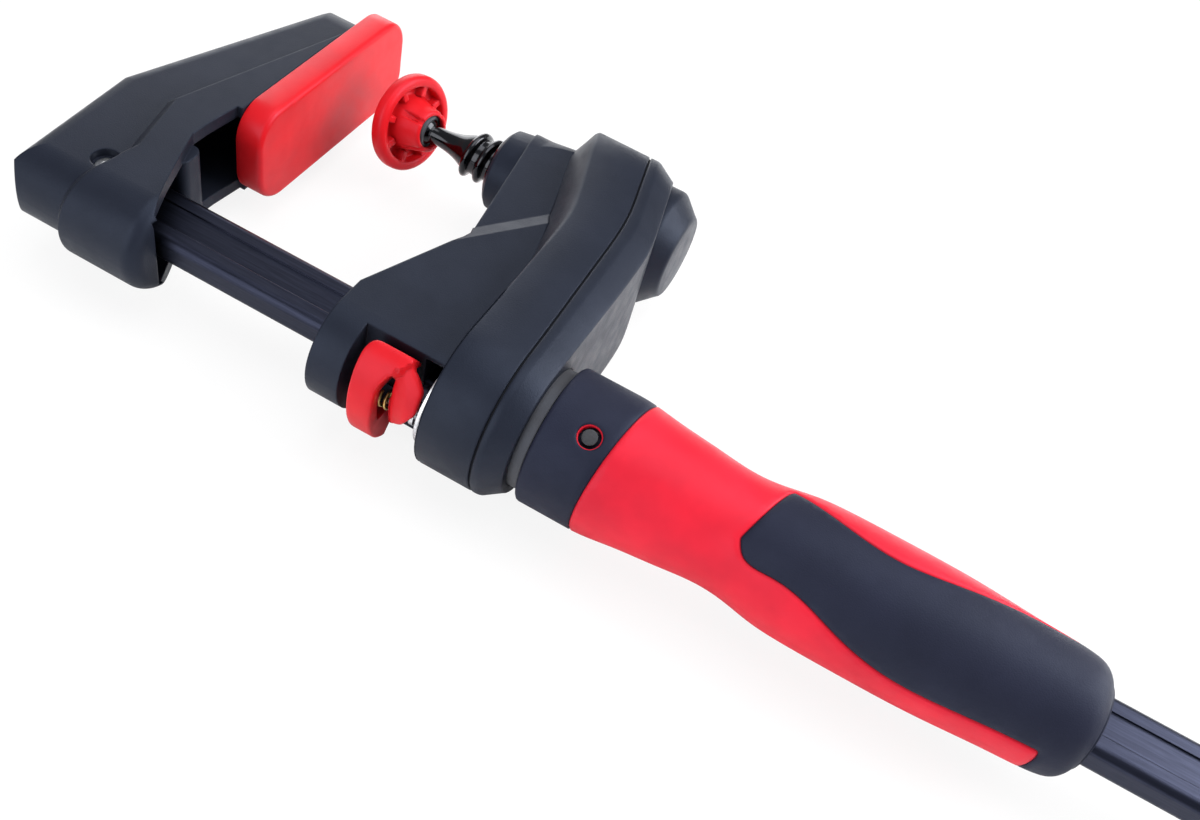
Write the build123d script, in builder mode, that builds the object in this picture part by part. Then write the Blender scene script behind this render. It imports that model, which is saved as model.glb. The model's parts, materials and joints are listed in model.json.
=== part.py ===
from build123d import *
import math
import os

# Bar clamp with a geared handle, lying on its side. +X runs along the rail from the fixed jaw
# to the handle, +Y from the rail to the jaw tips, and +Z up. The origin is where the spindle's
# axis meets the clamping face of the fixed jaw's pad. Sizes are in millimetres.

# Rail
throat_depth = 60.0
rail_width = 15.0
rail_thickness = 7.5
rail_corner = 2.0
rail_start = -34.0
rail_end = 358.0
rail_groove_width = 6.4
rail_groove_depth = 0.45
rail_end_bevel = 0.6
rail_y = -(throat_depth + rail_width / 2)
stop_pin_radius = 1.5
stop_pin_half = 6.9
stop_pin_x = 352.4

# Fixed jaw, with heights along Y counted from the rail's axis
jaw_thin_half = 10.1
jaw_thick_half = 12.6
jaw_foot = -14.0
jaw_thick_foot = -16.9
jaw_tip = 86.5
jaw_tip_round = 9.8
jaw_back_round = 4.5
jaw_mouth_round = 3.5
jaw_step_run = 2.4
jaw_wall_gap = 9.4
jaw_pin_x = -20.3
jaw_pin_radius = 2.5
jaw_pin_half = 8.0
jaw_hole_radius = 3.2
pad_depth = 7.3
pad_front = 3.0
pad_wall = 2.3
pad_low = 28.0
pad_high = 90.0
pad_half = 13.0
pad_round = 8.5

# Slider, with lengths along X counted from the front rim of the handle's collar
collar_x = 96.5
arm_half = 13.0
arm_foot = -17.8
arm_nose = -50.5
boss_half = 11.7
boss_front = -52.1
boss_profile = [(-52.1, 0), (-52.1, 9.6), (-51.2, 10.6), (-43.8, 11.6), (-28.0, 13.4), (-28.0, 0)]
arm_throat = (-40.2, 29.8)
arm_tip = (-46.9, 74.0)
arm_crown = (-42.5, 81.0)
root_bend = (-40.6, 27.5)
step_front = (-40.9, 32.1)
step_rear = (-27.0, 51.0)
step_width = 3.9
housing_front = -22.2
housing_seam = -10.6
housing_rear = -2.8
housing_radius = 19.0
housing_bend = 47.0
housing_slope = 0.25
nose_start = 22.0
nose_slope = 0.271
nose_bend_x = -28.9
gasket_depth = 0.4
cover_bevel_side = 3.0
cover_bevel_run = 5.2
nose_step_side = 7.0
nose_step_run = 5.0
slot_gap = 0.25
window_front = -42.5
window_top = -7.6

# Gear train: handle gear, two idlers and spindle gear in line between the two axes
gear_module = 1.0
drive_teeth = 30
idler_teeth = 20
spindle_teeth = 25
gear_front = -18.0
gear_rear = -11.2
gear_backlash = 0.12
pressure_angle = math.radians(20)
pocket_gap = 0.55
pocket_front = -18.5
pocket_rear = -10.8
sleeve_bore = 8.3
sleeve_radius = 10.4
running_gap = 0.06
idler_pin_radius = 2.5
screw_places = ((17.0, 15.8), (35.0, 10.0))
screw_head = 2.7
screw_shank = 1.4
plate_recess = -20.8
washer_radius = 14.0
seat_gap = 0.05
cap_front = -13.5
cap_radius = 15.2

# Spindle, with its left-hand thread
thread_pitch = 4.0
thread_radius = 6.3
thread_core = 4.9
journal_radius = 3.5
ball_x = -76.0
ball_radius = 4.2
neck_radius = 2.4
spindle_rear = -32.5
drive_square = 4.0
drive_gap = 0.1
nut_radius = 9.0
nut_front = -52.8
nut_rear = -37.6
spindle_room = 7.4

thread_start = -60.6
thread_length = 26.4

# Pressure plate, tipped on its ball
plate_yaw = math.radians(-11.8)
plate_pitch = math.radians(12.9)
plate_radius = 12.65
plate_front = -6.0
plate_rim = -2.2
plate_floor = 1.5
plate_rim_wall = 1.75
hub_base = 7.6
hub_radius = 5.5
hub_top = 3.5
hub_slot = 1.3
hub_slot_floor = -0.6
hub_mouth = 4.3
socket_radius = 5.06
cup_radius = 5.0
rib_count = 8
rib_width = 1.4
rib_height = 1.7
cup_rear = 2.6

# Release button and clamping plates
saddle_front = -39.9
saddle_rear = -31.9
saddle_radius = 18.2
saddle_bore = 9.2
wing_front = -30.4
wing_rear = -24.6
wing_outline = [(9.2, 126), (17.0, 126), (17.9, 148), (17.2, 170), (14.0, 184), (9.2, 184)]
web_radius = 11.0
button_top = -7.9
button_end_angle = math.radians(128)
post_drop = 13.0
post_radius = 0.9
spring_hole = 2.7
spring_seat = -36.0
spring_coil = 1.9
spring_wire = 0.35
clamp_hinge_x = -21.0
clamp_hinge_y = 12.6
clamp_half = 10.8
clamp_reach = 29.4
clamp_thickness = 0.85
clamp_cant = math.radians(3)

# Handle
handle_end = 123.3
collar_radius = 16.0
collar_seam = 15.3
collar_tilt = 2.05 / 16.0
collar_tilt_angle = math.radians(20)
grip_end = 115.0
screw_ring_angle = 117.0
handle_bore = 8.8
sleeve_front = -18.2
sleeve_rear = 14.0
screw_station = 9.9
screw_count = 3
bush_front = 116.0
bush_radius = 9.4
bush_bore = 8.1
handle_outline = [(13.0, 16.0), (22.5, 15.0), (33.0, 13.9), (42.0, 13.1), (48.0, 13.5), (55.0, 14.7),
                  (62.0, 15.2), (74.0, 15.3), (92.0, 15.0), (108.0, 14.0), (117.0, 13.4), (120.4, 12.4),
                  (122.6, 9.5)]
tongue_angle = 115.0
tongue_lower = [(45.6, 3.2), (47.2, 5.8), (55.0, 7.4), (70.0, 10.8), (82.0, 12.8), (104.0, 11.7), (124.0, 10.4)]
tongue_upper = [(50.5, -11.8), (58.0, -10.6), (75.0, -8.1), (84.0, -9.2), (103.0, -12.3), (124.0, -13.6)]

rail_axis = Axis((0, rail_y, 0), (1, 0, 0))
drive_pitch = gear_module * drive_teeth / 2
idler_pitch = gear_module * idler_teeth / 2
spindle_pitch = gear_module * spindle_teeth / 2
idler_a_y = rail_y + drive_pitch + idler_pitch
idler_b_y = idler_a_y + 2 * idler_pitch
spindle_y = -rail_y
os.makedirs("parts", exist_ok=True)


def finish(piece, name):
    """Labels a finished piece and writes it."""
    piece.part.label = name
    export_step(piece.part, f"parts/{name}.step")


def across(x, y=rail_y):
    """Plane across the rail: local x along +Y, local y along +Z, normal along +X."""
    return Plane(origin=(x, y, 0), x_dir=(0, 1, 0), z_dir=(1, 0, 0))


def rod(x0, x1, radius, y=rail_y, mode=Mode.ADD):
    """Cylinder along X between two stations."""
    with BuildSketch(across(x0, y)) as section:
        Circle(radius)
    extrude(section.sketch, amount=x1 - x0, mode=mode)


def post(x, y, z0, z1, radius, mode=Mode.ADD):
    """Cylinder along Z."""
    with BuildSketch(Plane(origin=(x, y, z0))) as section:
        Circle(radius)
    extrude(section.sketch, amount=z1 - z0, mode=mode)


def rail_section(x0, x1, gap, mode=Mode.SUBTRACT):
    """The rail's rounded section, grown by a gap, between two stations."""
    with BuildSketch(across(x0)) as section:
        RectangleRounded(rail_width + 2 * gap, rail_thickness + 2 * gap, rail_corner + gap)
    extrude(section.sketch, amount=x1 - x0, mode=mode)


def slab(x0, x1, low, high, half, low_round, high_round, y=rail_y, mode=Mode.ADD):
    """Slab along X whose section is a bar with its two ends rounded."""
    with BuildSketch(across(x0, y)) as section:
        with BuildLine():
            Polyline((low, -half), (high, -half), (high, half), (low, half), close=True)
        make_face()
        fillet(section.vertices().group_by(Axis.X)[0], radius=min(low_round, 0.995 * half))
        fillet(section.vertices().group_by(Axis.X)[-1], radius=min(high_round, 0.995 * half))
    extrude(section.sketch, amount=x1 - x0, mode=mode)


def side_profile(points, x, half, mode=Mode.ADD):
    """Prism through the thickness whose outline is given beside the rail's axis."""
    with BuildSketch(Plane(origin=(x, rail_y, -half))) as section:
        with BuildLine():
            Polyline(*points, close=True)
        make_face()
    extrude(section.sketch, amount=2 * half, mode=mode)


def rounded_back(below, above):
    """Trims the jaw behind one stretch of its back, with both long edges rounded."""
    along = Vector(above[0] - below[0], above[1] - below[1], 0).normalized()
    inward = Vector(along.Y, -along.X, 0)
    start = Vector(below[0], rail_y + below[1], 0) + inward * 40 - along * 100
    with BuildSketch(Plane(origin=start, x_dir=inward, z_dir=along)) as section:
        RectangleRounded(80, 2 * jaw_thin_half, jaw_back_round)
    extrude(section.sketch, amount=300, mode=Mode.INTERSECT)


def slanted(x):
    """Housing border at one station: straight beside the rail, leaning forward at the spindle."""
    top = 88.0
    return [(x, -20.0), (x, housing_bend), (x - housing_slope * (top - housing_bend), top)]


def bevelled(station, run, side, mode=Mode.INTERSECT):
    """Housing outline that narrows evenly towards a straight face."""
    outlines = []
    for step in (0, 3):
        middle = across(collar_x + station + step * run, rail_y + spindle_y / 2)
        with BuildSketch(middle) as outline:
            SlotCenterToCenter(spindle_y, 2 * (housing_radius + side * (step - 1)))
        outlines.append(outline.sketch.faces()[0])
    loft(outlines, ruled=True, mode=mode)


def bevelled_slope(station, run, side, mode=Mode.INTERSECT):
    """Housing outline that narrows evenly towards a face leaning forward at the spindle."""
    outlines = []
    reach = (spindle_y - housing_bend) * math.hypot(1, housing_slope)
    for step in (0, 7):
        origin = (collar_x + station + step * run, rail_y + housing_bend, 0)
        plane = Plane(origin=origin, x_dir=(-housing_slope, 1, 0), z_dir=(1, housing_slope, 0))
        with BuildSketch(plane) as outline:
            with Locations((reach - 60, 0)):
                SlotCenterToCenter(120, 2 * (housing_radius + side * (step - 1)))
        outlines.append(outline.sketch.faces()[0])
    loft(outlines, ruled=True, mode=mode)


def turned(points, y=rail_y, mode=Mode.ADD):
    """Body of revolution about a line along X, from stations behind the collar's rim and radii."""
    with BuildSketch(Plane(origin=(collar_x, y, 0), x_dir=(1, 0, 0), z_dir=(0, -1, 0))) as section:
        with BuildLine():
            Polyline(*points, close=True)
        make_face()
    revolve(section.sketch, axis=Axis((0, y, 0), (1, 0, 0)), mode=mode)


def radial(x, angle):
    """Plane through the rail's axis that faces outwards at an angle from +Y towards +Z."""
    way = math.radians(angle)
    return Plane(origin=(collar_x + x, rail_y, 0), x_dir=(1, 0, 0), z_dir=(0, math.cos(way), math.sin(way)))


def screw_posts(x0, x1, radius, mode=Mode.ADD):
    """The same cylinder at the housing's four screws."""
    for y, side in screw_places:
        for z in (-side, side):
            with BuildSketch(Plane(origin=(collar_x + x0, rail_y + y, z), z_dir=(1, 0, 0))) as section:
                Circle(radius)
            extrude(section.sketch, amount=x1 - x0, mode=mode)


def gear_points(teeth, turned):
    """Outline of an involute spur gear."""
    pitch_radius = gear_module * teeth / 2
    base = pitch_radius * math.cos(pressure_angle)
    root = pitch_radius - 1.25 * gear_module
    tip = pitch_radius + gear_module
    involute = math.tan(pressure_angle) - pressure_angle
    half_tooth = (math.pi * gear_module / 2 - gear_backlash) / (2 * pitch_radius)
    start = max(base, root)
    steps = 4
    flank = [(root, half_tooth + involute)]
    for step in range(steps + 1):
        radius = start + (tip - start) * step / steps
        lean = math.acos(min(1.0, base / radius))
        flank.append((radius, half_tooth + involute - (math.tan(lean) - lean)))
    points = []
    for tooth in range(teeth):
        centre = turned + 2 * math.pi * tooth / teeth
        left = [(radius, centre - angle) for radius, angle in flank]
        right = [(radius, centre + angle) for radius, angle in reversed(flank)]
        points += [(r * math.cos(a), r * math.sin(a)) for r, a in left + right]
    return points


def gear_disc(teeth, y, turned=0.0):
    """Toothed disc between the gear train's two faces."""
    with BuildSketch(across(collar_x + gear_front, y)) as section:
        with BuildLine():
            Polyline(*gear_points(teeth, turned), close=True)
        make_face()
    extrude(section.sketch, amount=gear_rear - gear_front)


def gear_pockets(rear):
    """Room for the four gears, cut from the piece being built."""
    front = collar_x + pocket_front
    rod(front, rear, drive_pitch + gear_module + pocket_gap, mode=Mode.SUBTRACT)
    rod(front, rear, idler_pitch + gear_module + pocket_gap, y=idler_a_y, mode=Mode.SUBTRACT)
    rod(front, rear, idler_pitch + gear_module + pocket_gap, y=idler_b_y, mode=Mode.SUBTRACT)
    rod(front, rear, spindle_pitch + gear_module + pocket_gap, y=0, mode=Mode.SUBTRACT)


# Rail: flat bar with rounded corners and a shallow groove along both wide faces
with BuildPart() as rail:
    rail_section(rail_start, rail_end, 0, mode=Mode.ADD)
    chamfer(rail.faces().sort_by(Axis.X)[-1].edges(), length=rail_end_bevel)
    for side in (-1, 1):
        with BuildSketch(across(rail_start)):
            with Locations((0, side * rail_thickness / 2)):
                Rectangle(rail_groove_width, 2 * rail_groove_depth)
        extrude(amount=rail_end - rail_start, mode=Mode.SUBTRACT)
    post(jaw_pin_x, rail_y, -rail_thickness, rail_thickness, jaw_pin_radius, Mode.SUBTRACT)
    post(stop_pin_x, rail_y, -rail_thickness, rail_thickness, stop_pin_radius, Mode.SUBTRACT)
finish(rail, "rail")

# Stop pin across the rail's free end
with BuildPart() as rail_stop_pin:
    post(stop_pin_x, rail_y, -stop_pin_half, stop_pin_half, stop_pin_radius)
    chamfer(rail_stop_pin.edges(), length=0.3)
finish(rail_stop_pin, "rail_stop_pin")

# Fixed jaw: thin at the back, thick at the front, hollow on the clamping side
jaw_thick_back = [(-22.0, -17.0), (-18.5, 6.0), (-23.0, 24.0), (-8.6, 77.0), (-7.3, 91.0)]
with BuildPart() as jaw_front:
    slab(-30, 0.6, jaw_thick_foot, pad_high - 0.2, jaw_thick_half, jaw_thick_half, pad_round)
    side_profile([(0.6, 91.0), (0.6, -17.0)] + jaw_thick_back, 0, 20, mode=Mode.INTERSECT)
    fillet(jaw_front.faces().sort_by(Axis.X)[-1].edges().filter_by(lambda e: e.center().Y < rail_y + 20),
           radius=jaw_mouth_round)
    step_edges = jaw_front.edges().filter_by(lambda e: e.center().X < -7.9).filter_by(Axis.Z, reverse=True)
    chamfer(step_edges, length=jaw_step_run)

jaw_back = [(-36.5, -14.5), (-38.5, 26.0), (-20.5, 80.0), (-16.9, 87.2)]
with BuildPart() as fixed_jaw:
    slab(-38.5, -2, jaw_foot, jaw_tip, jaw_thin_half, jaw_thin_half, jaw_tip_round)
    for below, above in zip(jaw_back, jaw_back[1:]):
        rounded_back(below, above)
    side_profile([(-40, -20), (-33.2, -20), (-33.2, -14.6), (-36.9, -9.8), (-40, -9.8)], 0, 20,
                 mode=Mode.SUBTRACT)
    add(jaw_front.part)
    # Seat of the pad, a step inside the pad's outline
    slab(-pad_depth, 2, 24, 95, 20, 1, 1, mode=Mode.SUBTRACT)
    slab(-pad_depth - 0.5, -pad_front, pad_low + pad_wall, pad_high - pad_wall,
         pad_half - pad_wall, pad_round - pad_wall, pad_round - pad_wall)
    # Front edge of the side walls, drawn back between the rail's mouth and the pad
    side_profile([(2, -8.0), (-0.2, -8.0), (-3.8, 0.1), (-9.8, 16.6), (-9.6, 22.0), (-8.6, 31.0), (2, 31.0)],
                 0, 20, mode=Mode.SUBTRACT)
    # Hollow between the side walls
    hollow = [(2, -9.4), (-12, -9.4), (-12, 14), (-27, 18), (-27, 32), (-12, 74), (-5.2, 74), (-5.2, 30.4), (2, 27)]
    side_profile(hollow, 0, jaw_wall_gap, mode=Mode.SUBTRACT)
    # Rib across the hollow beside the rail
    with BuildSketch(Plane(origin=(0, rail_y, -jaw_wall_gap - 0.5))):
        with Locations((-10.5, 12.4)):
            RectangleRounded(8.0, 7.0, 2.2)
    extrude(amount=2 * jaw_wall_gap + 1)
    rail_section(rail_start - 0.2, 2, 0.05)
    post(jaw_pin_x, rail_y, -14, 14, jaw_pin_radius, Mode.SUBTRACT)
    post(jaw_pin_x, rail_y, 8, 14, jaw_hole_radius, Mode.SUBTRACT)
    post(jaw_pin_x, rail_y, -14, -8, jaw_hole_radius, Mode.SUBTRACT)
finish(fixed_jaw, "fixed_jaw")

with BuildPart() as jaw_pin:
    post(jaw_pin_x, rail_y, -jaw_pin_half, jaw_pin_half, jaw_pin_radius)
    post(jaw_pin_x, rail_y, -jaw_pin_half - 1, jaw_pin_half + 1, 1.2, Mode.SUBTRACT)
finish(jaw_pin, "jaw_pin")

# Pad: deep cap over the fixed jaw's seat
with BuildPart() as fixed_jaw_pad:
    slab(-pad_depth, 0, pad_low, pad_high, pad_half, pad_round, pad_round)
    chamfer(fixed_jaw_pad.faces().sort_by(Axis.X)[-1].edges(), length=0.5)
    slab(-pad_depth - 0.5, -pad_front, pad_low + pad_wall, pad_high - pad_wall,
         pad_half - pad_wall, pad_round - pad_wall, pad_round - pad_wall, mode=Mode.SUBTRACT)
finish(fixed_jaw_pad, "fixed_jaw_pad")

# Solid front shell of the gear housing, with a bevelled nose that runs forward to the spindle
nose_rear = [(housing_front + 0.2, 90.0), (housing_front + 0.2, nose_start)]
with BuildPart() as housing_nose:
    slab(collar_x - 45, collar_x - 18, 20, spindle_y + housing_radius, housing_radius, 1, housing_radius)
    side_profile([(housing_front, nose_start), (housing_front - nose_slope * (90 - nose_start), 90.0)] + nose_rear,
                 collar_x, 20, mode=Mode.INTERSECT)
    bevelled_slope(nose_bend_x, nose_step_run, nose_step_side)

with BuildPart() as housing_shell:
    slab(collar_x - 40, collar_x, -housing_radius, spindle_y + housing_radius, housing_radius,
         housing_radius, housing_radius)
    side_profile(slanted(housing_front) + slanted(housing_seam)[::-1], collar_x, 20, mode=Mode.INTERSECT)
    add(housing_nose.part)

# Sliding arm: thick beside the rail, with a slanted step down to the thinner end round the spindle
step_line = Vector(step_rear[0] - step_front[0], step_rear[1] - step_front[1], 0).normalized()
with BuildPart() as arm_root:
    slab(collar_x + arm_nose, collar_x - 20, arm_foot, 52, arm_half, arm_half, 1)
    root = [(arm_nose, -18), (arm_nose, 1.5), root_bend, arm_throat, step_front, step_rear,
            (housing_front, step_rear[1]), (housing_front, -18)]
    side_profile(root, collar_x, 20, mode=Mode.INTERSECT)
    for side in (1, -1):
        start = Vector(collar_x + step_front[0], rail_y + step_front[1], 0) - step_line * 10
        with BuildSketch(Plane(origin=start, x_dir=(-step_line.Y, step_line.X, 0), z_dir=step_line)) as wedge:
            with BuildLine():
                Polyline((-step_width, side * arm_half), (0, side * boss_half), (4, side * boss_half),
                         (4, side * 14), (-step_width, side * 14), close=True)
            make_face()
        extrude(wedge.sketch, amount=45, mode=Mode.SUBTRACT)

# Tapered boss of the nut, cut flat on the arm's two faces
with BuildPart() as arm_boss:
    turned(boss_profile, y=0)
    side_profile([(-60, 50), (-20, 50), (-20, 90), (-60, 90)], collar_x, boss_half, mode=Mode.INTERSECT)

with BuildPart() as sliding_arm:
    slab(collar_x + boss_front, collar_x - 20, -5, throat_depth + rail_width / 2 + boss_half,
         boss_half, 1, boss_half)
    tip = [(boss_front + 8, -5), arm_throat, arm_tip, arm_crown]
    side_profile(tip + slanted(housing_front)[::-1], collar_x, 20, mode=Mode.INTERSECT)
    add(arm_boss.part)
    add(arm_root.part)
    add(housing_shell.part, mode=Mode.SUBTRACT)
    rail_section(collar_x + arm_nose - 1, collar_x - 20, slot_gap)
    # Window of the release button, open at the rail's back
    window = [(window_front, -19), (window_front, window_top), (housing_front + 1, window_top),
              (housing_front + 1, -19)]
    side_profile(window, collar_x, 20, mode=Mode.SUBTRACT)
    # Room for the clamping plates round the rail
    slab(collar_x - 28.0, collar_x - 20, -19, 15.0, 11.6, 1, 4, mode=Mode.SUBTRACT)
    # Seat of the guide bush
    rail_section(collar_x + arm_nose - 1, collar_x - 44.0, 1.45)
    # Bore of the nut and room for the spindle's end
    rod(collar_x + boss_front - 2, collar_x + nut_rear, nut_radius, y=0, mode=Mode.SUBTRACT)
    rod(collar_x + nut_rear - 1, collar_x - 15, spindle_room, y=0, mode=Mode.SUBTRACT)
finish(sliding_arm, "sliding_arm")

with BuildPart() as rail_guide:
    rail_section(collar_x + arm_nose + 0.2, collar_x - 44.0, 1.45, mode=Mode.ADD)
    rail_section(collar_x + arm_nose - 1, collar_x - 43.0, 0.2)
finish(rail_guide, "rail_guide")

# Nut in the arm's boss, with a counterbore that takes the spindle's flare
with BuildPart() as spindle_nut:
    rod(collar_x + nut_front, collar_x + nut_rear, nut_radius, y=0)
    chamfer(spindle_nut.faces().sort_by(Axis.X)[0].edges(), length=0.6)
    rod(collar_x + nut_front - 1, collar_x + nut_rear + 1, thread_radius + 0.15, y=0, mode=Mode.SUBTRACT)
    rod(collar_x + nut_front - 1, collar_x - 48.5, thread_radius + 0.5, y=0, mode=Mode.SUBTRACT)
finish(spindle_nut, "spindle_nut")

# Gear housing: the front shell with the gears' pockets
with BuildPart() as gear_housing:
    add(housing_shell.part)
    rail_section(collar_x - 25, collar_x, 0.5)
    gear_pockets(collar_x)
    rod(collar_x + cap_front, collar_x, cap_radius + seat_gap, y=0, mode=Mode.SUBTRACT)
    rod(collar_x - 40, collar_x, spindle_room, y=0, mode=Mode.SUBTRACT)
    for y in (idler_a_y, idler_b_y):
        rod(collar_x - 21, collar_x + pocket_front + 1, idler_pin_radius, y=y, mode=Mode.SUBTRACT)
    # Recess of the clamping plates in the front wall
    slab(collar_x - 25, collar_x + plate_recess, -17.6, 13.4, 11.6, 11, 0.5, mode=Mode.SUBTRACT)
    rod(collar_x - 25, collar_x - 19.5, post_radius, y=rail_y - post_drop, mode=Mode.SUBTRACT)
    screw_posts(-40, -20, screw_head, mode=Mode.SUBTRACT)
    screw_posts(-40, 0, screw_shank, mode=Mode.SUBTRACT)
finish(gear_housing, "gear_housing")

# Gasket in the seam, a little inside the outline
with BuildPart() as housing_gasket:
    slab(collar_x - 40, collar_x, 0.4 - housing_radius, spindle_y + housing_radius - 0.4,
         housing_radius - 0.4, housing_radius, housing_radius)
    band = slanted(housing_seam) + slanted(housing_seam + gasket_depth)[::-1]
    side_profile(band, collar_x, 20, mode=Mode.INTERSECT)
    slab(collar_x - 40, collar_x, 1.6 - housing_radius, spindle_y + housing_radius - 1.6,
         housing_radius - 1.6, housing_radius, housing_radius, mode=Mode.SUBTRACT)
finish(housing_gasket, "housing_gasket")

# Rear cover, bevelled all round, with the bearing of the handle's sleeve
with BuildPart() as rear_cover:
    slab(collar_x - 40, collar_x, -housing_radius, spindle_y + housing_radius, housing_radius,
         housing_radius, housing_radius)
    side_profile(slanted(housing_seam + gasket_depth) + slanted(housing_rear)[::-1], collar_x, 20,
                 mode=Mode.INTERSECT)
    bevelled(housing_rear, -cover_bevel_run, cover_bevel_side)
    bevelled_slope(housing_rear, -cover_bevel_run, cover_bevel_side)
    gear_pockets(collar_x + pocket_rear)
    rod(collar_x - 25, collar_x, sleeve_radius + running_gap, mode=Mode.SUBTRACT)
    rod(collar_x - 4.0, collar_x, washer_radius + seat_gap, mode=Mode.SUBTRACT)
    rod(collar_x + cap_front, collar_x, cap_radius + seat_gap, y=0, mode=Mode.SUBTRACT)
    for y in (idler_a_y, idler_b_y):
        rod(collar_x + pocket_rear - 1, collar_x - 7.5, idler_pin_radius, y=y, mode=Mode.SUBTRACT)
    screw_posts(-40, -8.5, screw_shank, mode=Mode.SUBTRACT)
finish(rear_cover, "rear_cover")

# Screws that hold the cover, put in from the front; the arm hides the upper two
with BuildPart() as housing_screws:
    screw_posts(-20, -9, screw_shank)
    screw_posts(-22, -20, screw_head - 0.3)
    for y, side in screw_places:
        for z in (-side, side):
            with BuildSketch(Plane(origin=(collar_x - 22.1, rail_y + y, z), z_dir=(1, 0, 0))) as socket:
                RegularPolygon(1.3, 6)
            extrude(socket.sketch, amount=1.3, mode=Mode.SUBTRACT)
finish(housing_screws, "housing_screws")

# Pins on which the two idlers turn
with BuildPart() as idler_pins:
    for y in (idler_a_y, idler_b_y):
        rod(collar_x - 21, collar_x - 7.8, idler_pin_radius, y=y)
finish(idler_pins, "idler_pins")

# Washer behind the handle's collar
with BuildPart() as thrust_washer:
    rod(collar_x - 4.0, collar_x - 0.3, washer_radius)
    rod(collar_x - 5, collar_x + 1, sleeve_radius + 0.3, mode=Mode.SUBTRACT)
finish(thrust_washer, "thrust_washer")

# Round cap behind the spindle's gear, with the bearing of the drive rod
cap_profile = [(cap_front, 0), (cap_front, cap_radius), (-10.8, cap_radius), (-4.9, 14.2), (-3.6, 13.5),
               (-1.7, 11.3), (-1.0, 9.8), (-1.0, 0)]
with BuildPart() as spindle_end_cap:
    turned(cap_profile, y=0)
    gear_pockets(collar_x + pocket_rear)
    rod(collar_x - 14, collar_x - 3.6, journal_radius + running_gap, y=0, mode=Mode.SUBTRACT)
finish(spindle_end_cap, "spindle_end_cap")

# Gears
with BuildPart() as drive_gear:
    gear_disc(drive_teeth, rail_y)
    rod(collar_x - 20, collar_x, sleeve_radius, mode=Mode.SUBTRACT)
finish(drive_gear, "drive_gear")

with BuildPart() as idler_gear_a:
    gear_disc(idler_teeth, idler_a_y, turned=math.pi / idler_teeth)
    rod(collar_x - 20, collar_x, idler_pin_radius + running_gap, y=idler_a_y, mode=Mode.SUBTRACT)
finish(idler_gear_a, "idler_gear_a")

with BuildPart() as idler_gear_b:
    gear_disc(idler_teeth, idler_b_y)
    rod(collar_x - 20, collar_x, idler_pin_radius + running_gap, y=idler_b_y, mode=Mode.SUBTRACT)
finish(idler_gear_b, "idler_gear_b")

with BuildPart() as spindle_gear:
    gear_disc(spindle_teeth, 0)
    with BuildSketch(across(collar_x - 20, 0)):
        Rectangle(drive_square, drive_square)
    extrude(amount=20, mode=Mode.SUBTRACT)
finish(spindle_gear, "spindle_gear")

# Square rod that turns the spindle and lets it slide
with BuildPart() as drive_rod:
    with BuildSketch(across(collar_x - 50, 0)):
        Rectangle(drive_square, drive_square)
    extrude(amount=50 + gear_rear)
    rod(collar_x + gear_rear, collar_x - 4.0, journal_radius, y=0)
finish(drive_rod, "drive_rod")

# Spindle: ball, necked shank, square hollow and left-hand thread
spindle_profile = [(ball_x, 0), (ball_x, neck_radius), (-69.5, neck_radius), (-68.0, 2.6), (-65.8, 3.0),
                   (-64.0, 3.6), (-62.4, 4.4), (-61.4, thread_core), (spindle_rear, thread_core),
                   (spindle_rear, 0)]
ridge_path = Helix(thread_pitch, thread_length, thread_core, center=(collar_x + thread_start, 0, 0),
                   direction=(1, 0, 0), lefthand=True)
ridge_start = ridge_path @ 0
ridge_plane = Plane(origin=ridge_start, x_dir=(1, 0, 0), z_dir=ridge_path % 0)
with BuildPart() as ridge:
    with BuildSketch(ridge_plane) as ridge_section:
        with BuildLine():
            Polyline((-1.35, 0.25), (-0.55, thread_core - thread_radius), (0.55, thread_core - thread_radius),
                     (1.35, 0.25), close=True)
        make_face()
    sweep(ridge_section.sketch, path=ridge_path, is_frenet=True)
with BuildPart() as spindle:
    turned(spindle_profile, y=0)
    with Locations((collar_x + ball_x, 0, 0)):
        Sphere(ball_radius)
    add(ridge.part)
    with BuildSketch(across(collar_x - 64, 0)):
        Rectangle(drive_square + 2 * drive_gap, drive_square + 2 * drive_gap)
    extrude(amount=40, mode=Mode.SUBTRACT)
finish(spindle, "spindle")

# Pressure plate on its cup, both about the ball's centre
ball_centre = (collar_x + ball_x, 0, 0)
plate_normal = Vector(1, 0, 0).rotate(Axis.Z, math.degrees(plate_yaw))
plate_normal = Vector(math.cos(plate_pitch) * plate_normal.X, math.cos(plate_pitch) * plate_normal.Y,
                      math.sin(plate_pitch))


def plate_plane(x):
    """Plane square to the pressure plate's own axis, at a station behind the ball's centre."""
    return Plane(origin=Vector(*ball_centre) + plate_normal * x, x_dir=(0, 1, 0.2), z_dir=plate_normal)


def plate_disc(x0, x1, radius, taper=0.0, mode=Mode.ADD):
    """Cylinder or cone along the pressure plate's own axis."""
    with BuildSketch(plate_plane(x0)) as section:
        Circle(radius)
    extrude(section.sketch, amount=x1 - x0, taper=taper, mode=mode)


with BuildPart() as ball_cup:
    with Locations(ball_centre):
        Sphere(cup_radius)
        Sphere(ball_radius + running_gap, mode=Mode.SUBTRACT)
    rod(collar_x + ball_x + cup_rear, collar_x, 8, y=0, mode=Mode.SUBTRACT)
finish(ball_cup, "ball_cup")

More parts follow.
